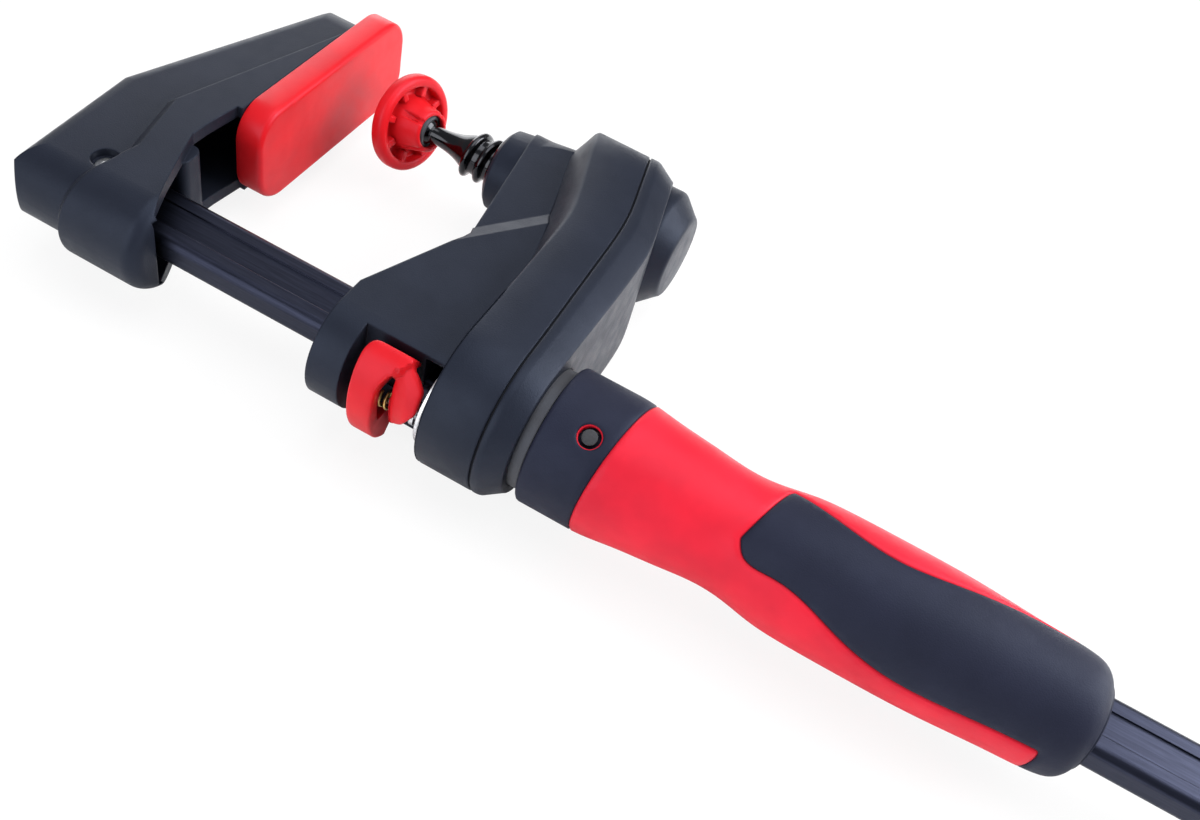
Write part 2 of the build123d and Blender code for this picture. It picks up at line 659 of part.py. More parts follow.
plate_web = plate_front + plate_floor
hub_taper = math.degrees(math.atan((hub_base - hub_radius) / (hub_top - plate_web)))
with BuildPart() as pressure_plate:
    plate_disc(plate_front, plate_rim, plate_radius)
    chamfer(pressure_plate.edges(), length=0.5)
    plate_disc(plate_web, 0, plate_radius - plate_rim_wall, mode=Mode.SUBTRACT)
    plate_disc(plate_web, hub_top, hub_base, taper=hub_taper)
    with BuildSketch(plate_plane(plate_web - 0.1)) as ribs:
        with PolarLocations((hub_base + plate_radius - rib_width) / 2, rib_count):
            Rectangle(plate_radius - rib_width - hub_base + 1.2, rib_width)
    extrude(ribs.sketch, amount=rib_height)
    with Locations(ball_centre):
        Sphere(socket_radius, mode=Mode.SUBTRACT)
    plate_disc(2.4, 5, hub_mouth, mode=Mode.SUBTRACT)
    # Four slots that let the hub's rim snap over the cup
    with BuildSketch(plate_plane(hub_slot_floor)) as slots:
        Rectangle(2 * hub_base, hub_slot)
        Rectangle(hub_slot, 2 * hub_base)
    extrude(slots.sketch, amount=hub_top + 2, mode=Mode.SUBTRACT)
finish(pressure_plate, "pressure_plate")

# Release button: saddle behind the rail and thumb wing on its upper side, joined by a low web
with BuildPart() as release_button:
    rod(collar_x + saddle_front, collar_x + saddle_rear, saddle_radius)
    chamfer(release_button.edges(), length=0.9)
    with BuildSketch(across(collar_x + wing_front)) as wing:
        with BuildLine():
            Polyline([(r * math.cos(math.radians(a)), r * math.sin(math.radians(a))) for r, a in wing_outline],
                     close=True)
        make_face()
    extrude(amount=wing_rear - wing_front)
    chamfer(release_button.faces().sort_by(Axis.X)[-1].edges(), length=0.9)
    rod(collar_x + saddle_rear - 1, collar_x + wing_front + 1, web_radius)
    rod(collar_x - 50, collar_x, saddle_bore, mode=Mode.SUBTRACT)
    # The button stays behind the rail, between two planes through the rail's axis
    slope = math.tan(math.pi - button_end_angle)
    with BuildSketch(across(collar_x - 50)) as keep:
        with BuildLine():
            Polyline([(y, side * y * slope) for y, side in ((button_top, 1), (button_top, -1), (-30, -1), (-30, 1))],
                     close=True)
        make_face()
    extrude(keep.sketch, amount=50, mode=Mode.INTERSECT)
    rod(collar_x + spring_seat, collar_x, spring_hole, y=rail_y - post_drop, mode=Mode.SUBTRACT)
finish(release_button, "release_button")

# Post and coil spring of the button
with BuildPart() as spring_post:
    rod(collar_x - 33.5, collar_x - 19.5, post_radius, y=rail_y - post_drop)
    rod(collar_x - 26.4, collar_x - 25.4, spring_hole - 0.35, y=rail_y - post_drop)
finish(spring_post, "spring_post")

spring_path = Helix(1.4, 7.0, spring_coil, center=(collar_x - 34.3, rail_y - post_drop, 0), direction=(1, 0, 0))
with BuildPart() as button_spring:
    with BuildSketch(Plane(origin=spring_path @ 0, z_dir=spring_path % 0)) as wire:
        Circle(spring_wire)
    sweep(wire.sketch, path=spring_path, is_frenet=True)
finish(button_spring, "button_spring")


def clamping_plate(order):
    """One of the two steel plates that grip the rail, leaning on the housing above the rail."""
    hinge = Vector(collar_x + clamp_hinge_x, rail_y + clamp_hinge_y, 0)
    up = Vector(math.sin(clamp_cant), math.cos(clamp_cant), 0)
    out = Vector(math.cos(clamp_cant), -math.sin(clamp_cant), 0)
    face = Plane(origin=hinge - out * (clamp_thickness * (order + 1)), x_dir=up, z_dir=out)
    with BuildSketch(face) as outline:
        with BuildLine():
            Line((0, -clamp_half), (0, clamp_half))
            Line((0, clamp_half), (-20, clamp_half))
            ThreePointArc((-20, clamp_half), (-clamp_reach, 0), (-20, -clamp_half))
            Line((-20, -clamp_half), (0, -clamp_half))
        make_face()
        with Locations((-clamp_hinge_y / math.cos(clamp_cant), 0)):
            RectangleRounded(rail_width + 0.9, rail_thickness + 0.6, rail_corner, mode=Mode.SUBTRACT)
        with Locations((-(clamp_hinge_y + post_drop) / math.cos(clamp_cant), 0)):
            Circle(1.7, mode=Mode.SUBTRACT)
    extrude(outline.sketch, amount=clamp_thickness - 0.02)


with BuildPart() as clamping_plate_front:
    clamping_plate(1)
finish(clamping_plate_front, "clamping_plate_front")

with BuildPart() as clamping_plate_rear:
    clamping_plate(0)
finish(clamping_plate_rear, "clamping_plate_rear")

# Handle: grooved grip moulded over a hard core, turned from one outline
with BuildPart() as handle_blank:
    with BuildSketch(Plane(origin=(collar_x, rail_y, 0), x_dir=(1, 0, 0), z_dir=(0, -1, 0))):
        with BuildLine():
            Polyline((13.0, 0), (0, 0), (0, collar_radius - 0.6), (0.6, collar_radius), (13.0, collar_radius))
            waist = Spline(*handle_outline, tangents=((1, 0), (0.35, -1)))
            Polyline(waist @ 1, (handle_end, 7.6), (handle_end, 0), (13.0, 0))
        make_face()
    revolve(axis=rail_axis)

with BuildPart() as grip_zone:
    seam_plane = Plane(origin=(collar_x + collar_seam, rail_y, 0),
                       z_dir=(1, -collar_tilt * math.cos(collar_tilt_angle),
                              -collar_tilt * math.sin(collar_tilt_angle)))
    with BuildSketch(seam_plane):
        Circle(30)
    extrude(amount=120)
    rod(collar_x + grip_end, collar_x + 160, 40, mode=Mode.SUBTRACT)
    for half_turn in (0, 180):
        with BuildSketch(radial(0, tongue_angle + half_turn)) as tongue:
            with BuildLine():
                lower = Spline(*tongue_lower)
                upper = Spline(*tongue_upper)
                Line(lower @ 0, upper @ 0)
                Line(lower @ 1, upper @ 1)
            make_face()
            fillet(tongue.vertices().group_by(Axis.X)[0], radius=2.0)
        extrude(amount=30, mode=Mode.SUBTRACT)

with BuildPart() as handle_inner:
    turned([(0, 0), (0, 14.4), (18.0, 14.4), (24.0, 13.1), (33.0, 12.3), (42.0, 11.5), (48.0, 11.9), (55.0, 13.1),
            (62.0, 13.6), (84.0, 13.7), (102.0, 12.8), (116.0, 11.8), (116.0, 0)])

with BuildPart() as handle_grip:
    add(handle_blank.part)
    add(grip_zone.part, mode=Mode.INTERSECT)
    add(handle_inner.part, mode=Mode.SUBTRACT)
finish(handle_grip, "handle_grip")

with BuildPart() as handle_core:
    add(handle_blank.part)
    add(handle_grip.part, mode=Mode.SUBTRACT)
    rod(collar_x - 1, collar_x + 130, handle_bore, mode=Mode.SUBTRACT)
    rod(collar_x - 1, collar_x + sleeve_rear, sleeve_radius, mode=Mode.SUBTRACT)
    rod(collar_x + bush_front, collar_x + 130, bush_radius, mode=Mode.SUBTRACT)
    for turn in range(screw_count):
        with BuildSketch(radial(screw_station, screw_ring_angle + 360 / screw_count * turn)):
            Circle(2.75)
        extrude(amount=20, mode=Mode.SUBTRACT)
finish(handle_core, "handle_core")

# Screws round the collar, into the sleeve
with BuildPart() as collar_screws:
    for turn in range(screw_count):
        with BuildSketch(radial(screw_station, screw_ring_angle + 360 / screw_count * turn)):
            Circle(2.75)
        extrude(amount=13.2)
    for turn in range(screw_count):
        with BuildSketch(radial(screw_station, screw_ring_angle + 360 / screw_count * turn)):
            Circle(1.7)
        extrude(amount=15.3)
    rod(collar_x, collar_x + 20, sleeve_radius, mode=Mode.SUBTRACT)
finish(collar_screws, "collar_screws")

# Sleeve that carries the turn from the handle to the first gear
with BuildPart() as drive_sleeve:
    rod(collar_x + sleeve_front, collar_x + sleeve_rear, sleeve_radius)
    rod(collar_x - 30, collar_x + 30, sleeve_bore, mode=Mode.SUBTRACT)
finish(drive_sleeve, "drive_sleeve")

with BuildPart() as handle_end_bush:
    rod(collar_x + bush_front, collar_x + handle_end - 0.4, bush_radius)
    rod(collar_x + bush_front - 1, collar_x + 130, bush_bore, mode=Mode.SUBTRACT)
finish(handle_end_bush, "handle_end_bush")
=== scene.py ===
import json
import math

import bmesh
import bpy
import numpy as np
from bpy.props import FloatProperty, FloatVectorProperty, PointerProperty
from mathutils import Matrix, Vector
from mathutils.geometry import delaunay_2d_cdt

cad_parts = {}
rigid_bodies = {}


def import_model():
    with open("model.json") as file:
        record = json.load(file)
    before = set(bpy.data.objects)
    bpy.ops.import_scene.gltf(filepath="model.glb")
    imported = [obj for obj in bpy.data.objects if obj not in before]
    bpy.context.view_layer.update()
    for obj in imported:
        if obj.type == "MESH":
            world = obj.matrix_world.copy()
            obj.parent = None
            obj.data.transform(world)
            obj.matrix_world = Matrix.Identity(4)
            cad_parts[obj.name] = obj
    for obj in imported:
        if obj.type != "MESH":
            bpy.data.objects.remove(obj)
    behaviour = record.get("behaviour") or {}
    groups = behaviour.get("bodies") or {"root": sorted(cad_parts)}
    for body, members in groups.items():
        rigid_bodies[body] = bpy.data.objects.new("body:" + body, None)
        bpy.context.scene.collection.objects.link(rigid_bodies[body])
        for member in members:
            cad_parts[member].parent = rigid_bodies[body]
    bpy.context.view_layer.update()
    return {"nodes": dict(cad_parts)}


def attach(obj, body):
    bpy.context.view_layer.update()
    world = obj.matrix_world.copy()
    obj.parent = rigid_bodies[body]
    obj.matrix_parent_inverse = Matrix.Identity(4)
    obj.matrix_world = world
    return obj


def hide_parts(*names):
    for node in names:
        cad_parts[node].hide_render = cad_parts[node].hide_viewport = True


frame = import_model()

bl_info = {
    "name": "Bar Clamp Dressing",
    "version": (1, 0, 0),
    "blender": (4, 5, 0),
    "location": "View3D > Sidebar > Clamp",
    "description": "Builds the visible pieces, finishes and studio of a geared bar clamp",
    "category": "Object",
}

MM = 0.001
RAIL_Y = -67.5
AXES_GAP = 67.5
COLLAR_X = 96.5
BALL_X = 20.5


class BarClampFinish(bpy.types.PropertyGroup):
    """Colours and surface grain"""

    black: FloatVectorProperty(
        name="Black", description="Moulded black polyamide", subtype="COLOR", size=4, min=0, max=1,
        default=(0.0105, 0.0125, 0.0200, 1))
    red: FloatVectorProperty(
        name="Red", description="Moulded red parts", subtype="COLOR", size=4, min=0, max=1,
        default=(0.52, 0.0080, 0.0120, 1))
    grip_red: FloatVectorProperty(
        name="Grip red", description="Red zones of the handle", subtype="COLOR", size=4, min=0, max=1,
        default=(0.57, 0.0115, 0.0260, 1))
    grip_black: FloatVectorProperty(
        name="Grip black", description="Soft black zones of the handle", subtype="COLOR",
        size=4, min=0, max=1,
        default=(0.0115, 0.0125, 0.0240, 1))
    steel_dark: FloatVectorProperty(
        name="Burnished steel", description="Rail", subtype="COLOR", size=4, min=0, max=1,
        default=(0.024, 0.027, 0.044, 1))
    steel_bright: FloatVectorProperty(
        name="Bright steel", description="Pins, plates and screws", subtype="COLOR", size=4, min=0, max=1,
        default=(0.60, 0.61, 0.63, 1))
    brass: FloatVectorProperty(
        name="Spring", description="Coated spring wire", subtype="COLOR", size=4, min=0, max=1,
        default=(0.55, 0.38, 0.14, 1))
    grain: FloatProperty(
        name="Grain", description="Size of the moulded grain", unit="LENGTH", default=0.00035, min=0.00005)
    edge: FloatProperty(
        name="Edge", description="Softening of sharp edges", unit="LENGTH", default=0.0006, min=0)


class BarClampHousing(bpy.types.PropertyGroup):
    """Gear housing"""

    wall: FloatProperty(name="Wall", description="Thickness of the walls", unit="LENGTH", default=0.0018)
    edge: FloatProperty(name="Edge", description="Rounding of the ridges", unit="LENGTH", default=0.0007)


class BarClampPad(bpy.types.PropertyGroup):
    """Cap over the fixed jaw"""

    depth: FloatProperty(name="Depth", description="Depth of the cap", unit="LENGTH", default=0.0073)
    edge: FloatProperty(
        name="Edge", description="Rounding of the clamping face", unit="LENGTH", default=0.0013)


class BarClampSpindle(bpy.types.PropertyGroup):
    """Threaded spindle"""

    pitch: FloatProperty(name="Pitch", description="Pitch of the thread", unit="LENGTH", default=0.004)
    crest: FloatProperty(
        name="Crest", description="Radius of the thread's crest", unit="LENGTH", default=0.0063)
    core: FloatProperty(name="Core", description="Radius between the turns", unit="LENGTH", default=0.0049)
    neck: FloatProperty(name="Neck", description="Radius behind the ball", unit="LENGTH", default=0.0024)
    start: FloatProperty(
        name="Start", description="Turn at which a crest passes its station", unit="ROTATION", default=0.8395)


class BarClampPlate(bpy.types.PropertyGroup):
    """Swivel plate on the spindle's ball"""

    yaw: FloatProperty(
        name="Yaw", description="Swing across the axis", unit="ROTATION", default=math.radians(11.8))
    pitch: FloatProperty(
        name="Tip", description="Tip towards the top", unit="ROTATION", default=math.radians(12.9))
    rib: FloatProperty(name="Rib", description="Width of a rib", unit="LENGTH", default=0.0016)
    slot: FloatProperty(name="Slot", description="Width of a slot in the hub", unit="LENGTH", default=0.0012)


class BarClampButton(bpy.types.PropertyGroup):
    """Release button"""

    edge: FloatProperty(name="Edge", description="Rounding of its rim", unit="LENGTH", default=0.0006)


class BarClampHandle(bpy.types.PropertyGroup):
    """Two-coloured handle"""

    groove: FloatProperty(
        name="Groove", description="Depth of the colour border", unit="LENGTH", default=0.0004)
    groove_half: FloatProperty(
        name="Groove reach", description="Half width of the colour border", unit="LENGTH", default=0.00045)
    shell: FloatProperty(
        name="Shell", description="Thickness of the outer layer", unit="LENGTH", default=0.0016)


class BarClampStudio(bpy.types.PropertyGroup):
    """Camera and light"""

    camera: FloatVectorProperty(
        name="Camera", description="Where the camera stands", subtype="TRANSLATION", size=3,
        default=(0.144163, -0.226626, 0.203398))
    lens: FloatProperty(name="Lens", description="Focal length in millimetres", default=36.885, min=10)
    floor: FloatProperty(
        name="Floor", description="Height of the floor", unit="LENGTH", default=-0.0192)


def settings():
    return bpy.context.scene.bar_clamp_finish


# Materials

PLASTIC_GLOSS = 0.18
PLASTIC_SHEEN = (0.60, 0.72, 1.0, 1)


class Shader:
    """A node-based material whose colour, roughness and bump are built step by step."""

    def __init__(self, name):
        self.material = bpy.data.materials.new(name)
        self.material.use_nodes = True
        self.tree = self.material.node_tree
        self.bsdf = self.tree.nodes["Principled BSDF"]
        self.where = self.add("ShaderNodeTexCoord").outputs["Object"]
        self.normal = None

    def add(self, kind, **values):
        node = self.tree.nodes.new(kind)
        for key, value in values.items():
            setattr(node, key, value)
        return node

    def link(self, output, target):
        self.tree.links.new(output, target)

    def noise(self, scale, detail=3.0, stretch=None):
        """Noise in object space, in cycles per metre, drawn out along an axis if asked."""
        where = self.where
        if stretch:
            mapping = self.add("ShaderNodeMapping")
            mapping.inputs["Scale"].default_value = stretch
            self.link(where, mapping.inputs["Vector"])
            where = mapping.outputs["Vector"]
        node = self.add("ShaderNodeTexNoise")
        node.inputs["Scale"].default_value = scale
        node.inputs["Detail"].default_value = detail
        node.inputs["Roughness"].default_value = 0.55
        self.link(where, node.inputs["Vector"])
        return node.outputs["Fac"]

    def ramp(self, factor, low, high, start=0.3, end=0.7):
        """Maps a factor onto a range of numbers."""
        node = self.add("ShaderNodeMapRange")
        node.inputs["From Min"].default_value = start
        node.inputs["From Max"].default_value = end
        node.inputs["To Min"].default_value = low
        node.inputs["To Max"].default_value = high
        self.link(factor, node.inputs["Value"])
        return node.outputs["Result"]

    def tint(self, factor, first, second, start=0.35, end=0.65):
        """Blends two colours by a factor."""
        node = self.add("ShaderNodeMix", data_type="RGBA")
        node.inputs["A"].default_value = first
        node.inputs["B"].default_value = second
        self.link(self.ramp(factor, 0, 1, start, end), node.inputs["Factor"])
        return node.outputs["Result"]

    def mix(self, factor, first, second):
        """Blends two linked colours by a linked factor."""
        node = self.add("ShaderNodeMix", data_type="RGBA")
        self.link(first, node.inputs["A"])
        self.link(second, node.inputs["B"])
        self.link(factor, node.inputs["Factor"])
        return node.outputs["Result"]

    def bump(self, height, distance, strength):
        node = self.add("ShaderNodeBump")
        node.inputs["Distance"].default_value = distance
        node.inputs["Strength"].default_value = strength
        self.link(height, node.inputs["Height"])
        if self.normal:
            self.link(self.normal, node.inputs["Normal"])
        self.normal = node.outputs["Normal"]

    def soften(self, radius):
        node = self.add("ShaderNodeBevel")
        node.samples = 6
        node.inputs["Radius"].default_value = radius
        self.normal = node.outputs["Normal"]

    def done(self, color, roughness, metallic=0.0, coat=0.0, level=0.5):
        inputs = self.bsdf.inputs
        self.link(color, inputs["Base Color"])
        self.link(roughness, inputs["Roughness"])
        inputs["Metallic"].default_value = metallic
        inputs["Coat Weight"].default_value = coat
        inputs["Coat Roughness"].default_value = 0.1
        inputs["Specular IOR Level"].default_value = level
        if self.normal:
            self.link(self.normal, inputs["Normal"])
        return self.material


def scaled(color, k):
    return (min(1, color[0] * k), min(1, color[1] * k), min(1, color[2] * k), 1)


def moulded(name, color, roughness, grain_depth):
    """Moulded plastic: fine eroded grain, slow change of tone, faint rub marks."""
    look = settings()
    s = Shader(name)
    s.soften(look.edge)
    grain = s.noise(1 / look.grain, detail=2.0)
    s.bump(grain, grain_depth, 0.8)
    tone = s.noise(60, detail=3.0)
    rub = s.noise(500, detail=4.0, stretch=(1, 0.15, 1))
    shade = s.tint(tone, scaled(color, 0.90), scaled(color, 1.12))
    worn = s.tint(rub, scaled(color, 1.0), scaled(color, 1.25), 0.62, 0.80)
    rub_mask = s.ramp(rub, 0.0, 0.35, 0.60, 0.78)
    color_out = s.mix(rub_mask, shade, worn)
    rough = s.ramp(s.noise(220, detail=3.0), roughness - 0.05, roughness + 0.06)
    s.bsdf.inputs["Specular Tint"].default_value = PLASTIC_SHEEN
    return s.done(color_out, rough, level=PLASTIC_GLOSS)


def steel(name, color, roughness, streaks=(0, 0, 0), soft=True, coat=0.0):
    """Drawn or ground steel, with streaks along the axes given as 1."""
    look = settings()
    s = Shader(name)
    if soft:
        s.soften(look.edge * 0.6)
    stretch = tuple(0.04 if a else 1.0 for a in streaks)
    streak = s.noise(2600, detail=4.0, stretch=stretch)
    s.bump(streak, 0.00002, 0.35)
    color_out = s.tint(streak, scaled(color, 0.80), scaled(color, 1.18))
    rough = s.ramp(s.noise(180, detail=3.0, stretch=stretch), roughness - 0.06, roughness + 0.10)
    return s.done(color_out, rough, metallic=1.0, coat=coat)


MATERIALS = {}


def make_materials():
    look = settings()
    MATERIALS["black"] = moulded("black_polyamide", tuple(look.black), 0.42, 0.00004)
    MATERIALS["red"] = moulded("red_polyamide", tuple(look.red), 0.36, 0.00002)
    MATERIALS["grip_red"] = moulded("red_grip_skin", tuple(look.grip_red), 0.44, 0.00003)
    MATERIALS["grip_black"] = moulded("black_grip_skin", tuple(look.grip_black), 0.55, 0.00005)
    MATERIALS["rail"] = steel("burnished_steel", tuple(look.steel_dark), 0.34, (1, 0, 0))
    MATERIALS["spindle"] = steel("black_oxide_steel", (0.016, 0.017, 0.021, 1), 0.16, coat=0.5)
    MATERIALS["steel"] = steel("bright_steel", tuple(look.steel_bright), 0.28)
    MATERIALS["plates"] = steel("ground_plate_steel", tuple(look.steel_bright), 0.30, (0, 1, 0))
    MATERIALS["spring"] = steel("spring_wire", tuple(look.brass), 0.30, soft=False)
    MATERIALS["bush"] = moulded("bearing_plastic", (0.055, 0.056, 0.062, 1), 0.38, 0.00002)
    MATERIALS["gear"] = moulded("gear_plastic", (0.52, 0.50, 0.45, 1), 0.40, 0.00002)
    MATERIALS["gasket"] = moulded("gasket_rubber", (0.008, 0.008, 0.009, 1), 0.70, 0.00002)


NODE_MATERIALS = {
    "rail": "rail", "rail_stop_pin": "steel", "fixed_jaw": "black", "jaw_pin": "steel",
    "fixed_jaw_pad": "red", "sliding_arm": "black", "rail_guide": "bush", "spindle_nut": "spindle",
    "gear_housing": "black", "housing_gasket": "gasket", "rear_cover": "black", "housing_screws": "steel",
    "idler_pins": "steel", "thrust_washer": "bush", "spindle_end_cap": "black", "drive_gear": "gear",
    "idler_gear_a": "gear", "idler_gear_b": "gear", "spindle_gear": "gear", "drive_rod": "steel",
    "spindle": "spindle", "ball_cup": "bush", "pressure_plate": "red",
    "release_button": "red", "spring_post": "steel", "button_spring": "spring",
    "clamping_plate_front": "plates", "clamping_plate_rear": "plates", "handle_grip": "grip_red",
    "handle_core": "grip_black", "collar_screws": "spindle", "drive_sleeve": "steel",
    "handle_end_bush": "bush",
}


# Mesh code. Coordinates are in millimetres, and a vertex is made in metres.

MERGE = 1e-7


class Form:
    """A bmesh with ring, skin and turning steps."""

    def __init__(self):
        self.mesh = bmesh.new()

    def ring(self, points):
        return [self.mesh.verts.new(Vector(p) * MM) for p in points]

    def skin(self, rows):
        """Walls between rings that follow one another."""
        for first, second in zip(rows, rows[1:]):
            for i in range(len(first)):
                j = (i + 1) % len(first)
                self.mesh.faces.new((first[i], first[j], second[j], second[i]))

    def loft(self, rings):
        rows = [self.ring(points) for points in rings]
        self.skin(rows)
        self.mesh.faces.new(rows[0])
        self.mesh.faces.new(rows[-1][::-1])

    def spin(self, line, centre, axis, steps):
        """Line of points turned full circle, with its holes filled."""
        verts = self.ring(line)
        edges = [self.mesh.edges.new(pair) for pair in zip(verts, verts[1:])]
        bmesh.ops.spin(self.mesh, geom=verts + edges, cent=Vector(centre) * MM, axis=axis,
                       dvec=(0, 0, 0), angle=2 * math.pi, steps=steps, use_merge=True)
        bmesh.ops.remove_doubles(self.mesh, verts=self.mesh.verts, dist=MERGE)
        bmesh.ops.holes_fill(self.mesh, edges=self.mesh.edges, sides=0)

    def turned(self, profile, steps, y=0.0):
        """Profile of stations beside the collar and radii, turned about a line along X."""
        self.spin([(COLLAR_X + x, y + r, 0) for x, r in profile], (0, y, 0), (1, 0, 0), steps)

    def piece(self, name, material, body, replaces=(), sharp=40.0):
        bmesh.ops.remove_doubles(self.mesh, verts=self.mesh.verts, dist=MERGE)
        bmesh.ops.recalc_face_normals(self.mesh, faces=self.mesh.faces)
        limit = math.radians(sharp)
        for face in self.mesh.faces:
            face.smooth = True
        for edge in self.mesh.edges:
            if len(edge.link_faces) == 2 and edge.calc_face_angle(0.0) > limit:
                edge.smooth = False
        mesh = bpy.data.meshes.new(name)
        self.mesh.to_mesh(mesh)
        self.mesh.free()
        mesh.materials.append(material)
        obj = bpy.data.objects.new(name, mesh)
        bpy.context.scene.collection.objects.link(obj)
        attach(obj, body)
        if replaces:
            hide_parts(*replaces)
        return obj


def ease(t):
    t = max(0.0, min(1.0, t))
    return t * t * (3 - 2 * t)


def arc_steps(start, end, count):
    return [start + (end - start) * i / count for i in range(count + 1)]


def circle(count):
    """Angles of a closed ring of points."""
    return [2 * math.pi * i / count for i in range(count)]


def around(x, r, count):
    """Ring of points about the spindle's axis."""
    return [(x, r * math.cos(a), r * math.sin(a)) for a in circle(count)]


def rounded_outline(low, high, half, corner_low, corner_high, depth=0.0, steps=14, spans=24):
    """Closed outline (y, z) of a bar with rounded corners, drawn inwards by a depth."""
    points = []
    low, high, half = low + depth, high - depth, half - depth
    corners = ((high, half, corner_high, 0), (low, half, corner_low, 90), (low, -half, corner_low, 180),
               (high, -half, corner_high, 270))
    for y, z, radius, start in corners:
        r = max(radius - depth, 0.05)
        side_y, side_z = (1 if y == high else -1), (1 if z > 0 else -1)
        for i in range(steps + 1):
            a = math.radians(start + 90 * i / steps)
            points.append((y - side_y * r + r * math.cos(a), z - side_z * r + r * math.sin(a)))
    dense = []
    for first, second in zip(points, points[1:] + points[:1]):
        dense.append(first)
        length = math.hypot(second[0] - first[0], second[1] - first[1])
        if length > 12:
            dense += [tuple(Vector(first).lerp(Vector(second), k / spans)) for k in range(1, spans)]
    return dense


# Handle


def smooth_curve(points, first, last, steps=10):
    """Cubic spline through points (x, y) with given end slopes, sampled between each pair."""
    xy = np.array(points, float)
    t = np.concatenate(([0.0], np.cumsum(np.hypot(*np.diff(xy, axis=0).T))))
    h = np.diff(t)
    n = len(xy)
    a = np.zeros((n, n))
    b = np.zeros((n, 2))
    a[0, 0] = a[-1, -1] = 1.0
    b[0] = np.array(first) / np.hypot(*first)
    b[-1] = np.array(last) / np.hypot(*last)
    for i in range(1, n - 1):
        a[i, i - 1], a[i, i], a[i, i + 1] = h[i], 2 * (h[i - 1] + h[i]), h[i - 1]
        b[i] = 3 * (h[i] * (xy[i] - xy[i - 1]) / h[i - 1] + h[i - 1] * (xy[i + 1] - xy[i]) / h[i])
    slope = np.linalg.solve(a, b)
    out = []
    for i in range(n - 1):
        for k in range(steps):
            s = k / steps
            out.append(tuple((2 * s**3 - 3 * s**2 + 1) * xy[i] + (s**3 - 2 * s**2 + s) * h[i] * slope[i]
                             + (3 * s**2 - 2 * s**3) * xy[i + 1] + (s**3 - s**2) * h[i] * slope[i + 1]))
    return out + [tuple(xy[-1])]


def round_corners(points, radii, steps=6):
    """Open polyline whose inner corners are replaced by arcs of given reach."""
    out = [points[0]]
    for i in range(1, len(points) - 1):
        reach = radii.get(i, 0.0)
        if not reach:
            out.append(points[i])
            continue
        here = Vector(points[i])
        back = (Vector(points[i - 1]) - here)
        on = (Vector(points[i + 1]) - here)
        p0 = here + back.normalized() * min(reach, back.length * 0.5)
        p2 = here + on.normalized() * min(reach, on.length * 0.5)
        for k in range(steps + 1):
            s = k / steps
            out.append(tuple((1 - s)**2 * p0 + 2 * s * (1 - s) * here + s**2 * p2))
    return out + [points[-1]]


def resample(points, step):
    """Polyline with even spacing that keeps both ends."""
    xy = np.array(points, float)
    keep = np.concatenate(([True], np.hypot(*np.diff(xy, axis=0).T) > 1e-6))
    xy = xy[keep]
    t = np.concatenate(([0.0], np.cumsum(np.hypot(*np.diff(xy, axis=0).T))))
    count = max(2, int(round(t[-1] / step)) + 1)
    at = np.linspace(0, t[-1], count)
    return list(zip(np.interp(at, t, xy[:, 0]), np.interp(at, t, xy[:, 1])))


def shifted(points, distance):
    """Polyline moved sideways, to its left, by a distance."""
    xy = np.array(points, float)
    way = np.gradient(xy, axis=0)
    way /= np.maximum(np.hypot(way[:, 0], way[:, 1]), 1e-9)[:, None]
    side = np.stack((-way[:, 1], way[:, 0]), axis=1)
    side[0] = (np.sign(side[0, 0]), 0) if abs(side[0, 0]) > 0.5 else side[0]
    side[-1] = (np.sign(side[-1, 0]), 0) if abs(side[-1, 0]) > 0.5 else side[-1]
    return [tuple(p) for p in xy + side * distance]


def inset(points, distance):
    """Closed outline, drawn clockwise or not, shrunk towards its inner side."""
    xy = np.array(points, float)
    way = np.roll(xy, -1, axis=0) - np.roll(xy, 1, axis=0)
    way /= np.maximum(np.hypot(way[:, 0], way[:, 1]), 1e-9)[:, None]
    area = np.sum(xy[:, 0] * np.roll(xy[:, 1], -1) - np.roll(xy[:, 0], -1) * xy[:, 1])
    side = np.stack((-way[:, 1], way[:, 0]), axis=1) * (1 if area > 0 else -1)
    return [tuple(p) for p in xy + side * distance]


def middle_of(points, face):
    return sum((Vector(points[i]) for i in face), Vector((0, 0))) / 3


def inside(point, polygon):
    x, y = point
    hit = False
    for (x0, y0), (x1, y1) in zip(polygon, polygon[1:] + polygon[:1]):
        if (y0 > y) != (y1 > y) and x < (x1 - x0) * (y - y0) / (y1 - y0) + x0:
            hit = not hit
    return hit


GRIP_OUTLINE = [(13.0, 16.0), (22.5, 15.0), (33.0, 13.9), (42.0, 13.1), (48.0, 13.5), (55.0, 14.7),
                (62.0, 15.2), (74.0, 15.3), (92.0, 15.0), (108.0, 14.0), (117.0, 13.4), (120.4, 12.4),
                (122.6, 9.5)]
TONGUE_LOWER = [(45.6, 3.2), (47.2, 5.8), (55.0, 7.4), (70.0, 10.8), (82.0, 12.8), (104.0, 11.7),
                (118.0, 10.9)]
TONGUE_UPPER = [(50.5, -11.8), (58.0, -10.6), (75.0, -8.1), (84.0, -9.2), (103.0, -12.3), (118.0, -13.2)]
TONGUE_ANGLES = (115.0, 295.0)
TONGUE_END = 114.8
TONGUE_CORNER, SHELL_CORNER = 3.2, 2.8
COLLAR_RADIUS = 16.0
COLLAR_SEAM, COLLAR_LEAN, COLLAR_LEAN_ANGLE = 15.3, 2.05, 20.0
COLLAR_WALL = 2.6
SCREW_X = 9.9
SCREW_ANGLES = (117.0, 237.0, 357.0)
SCREW_RIMS = ((2.75, 0.25), (2.95, 0.05), (3.1, 0.0))
SEAM_ANGLE = 38.0
DEVELOPED = 15.0


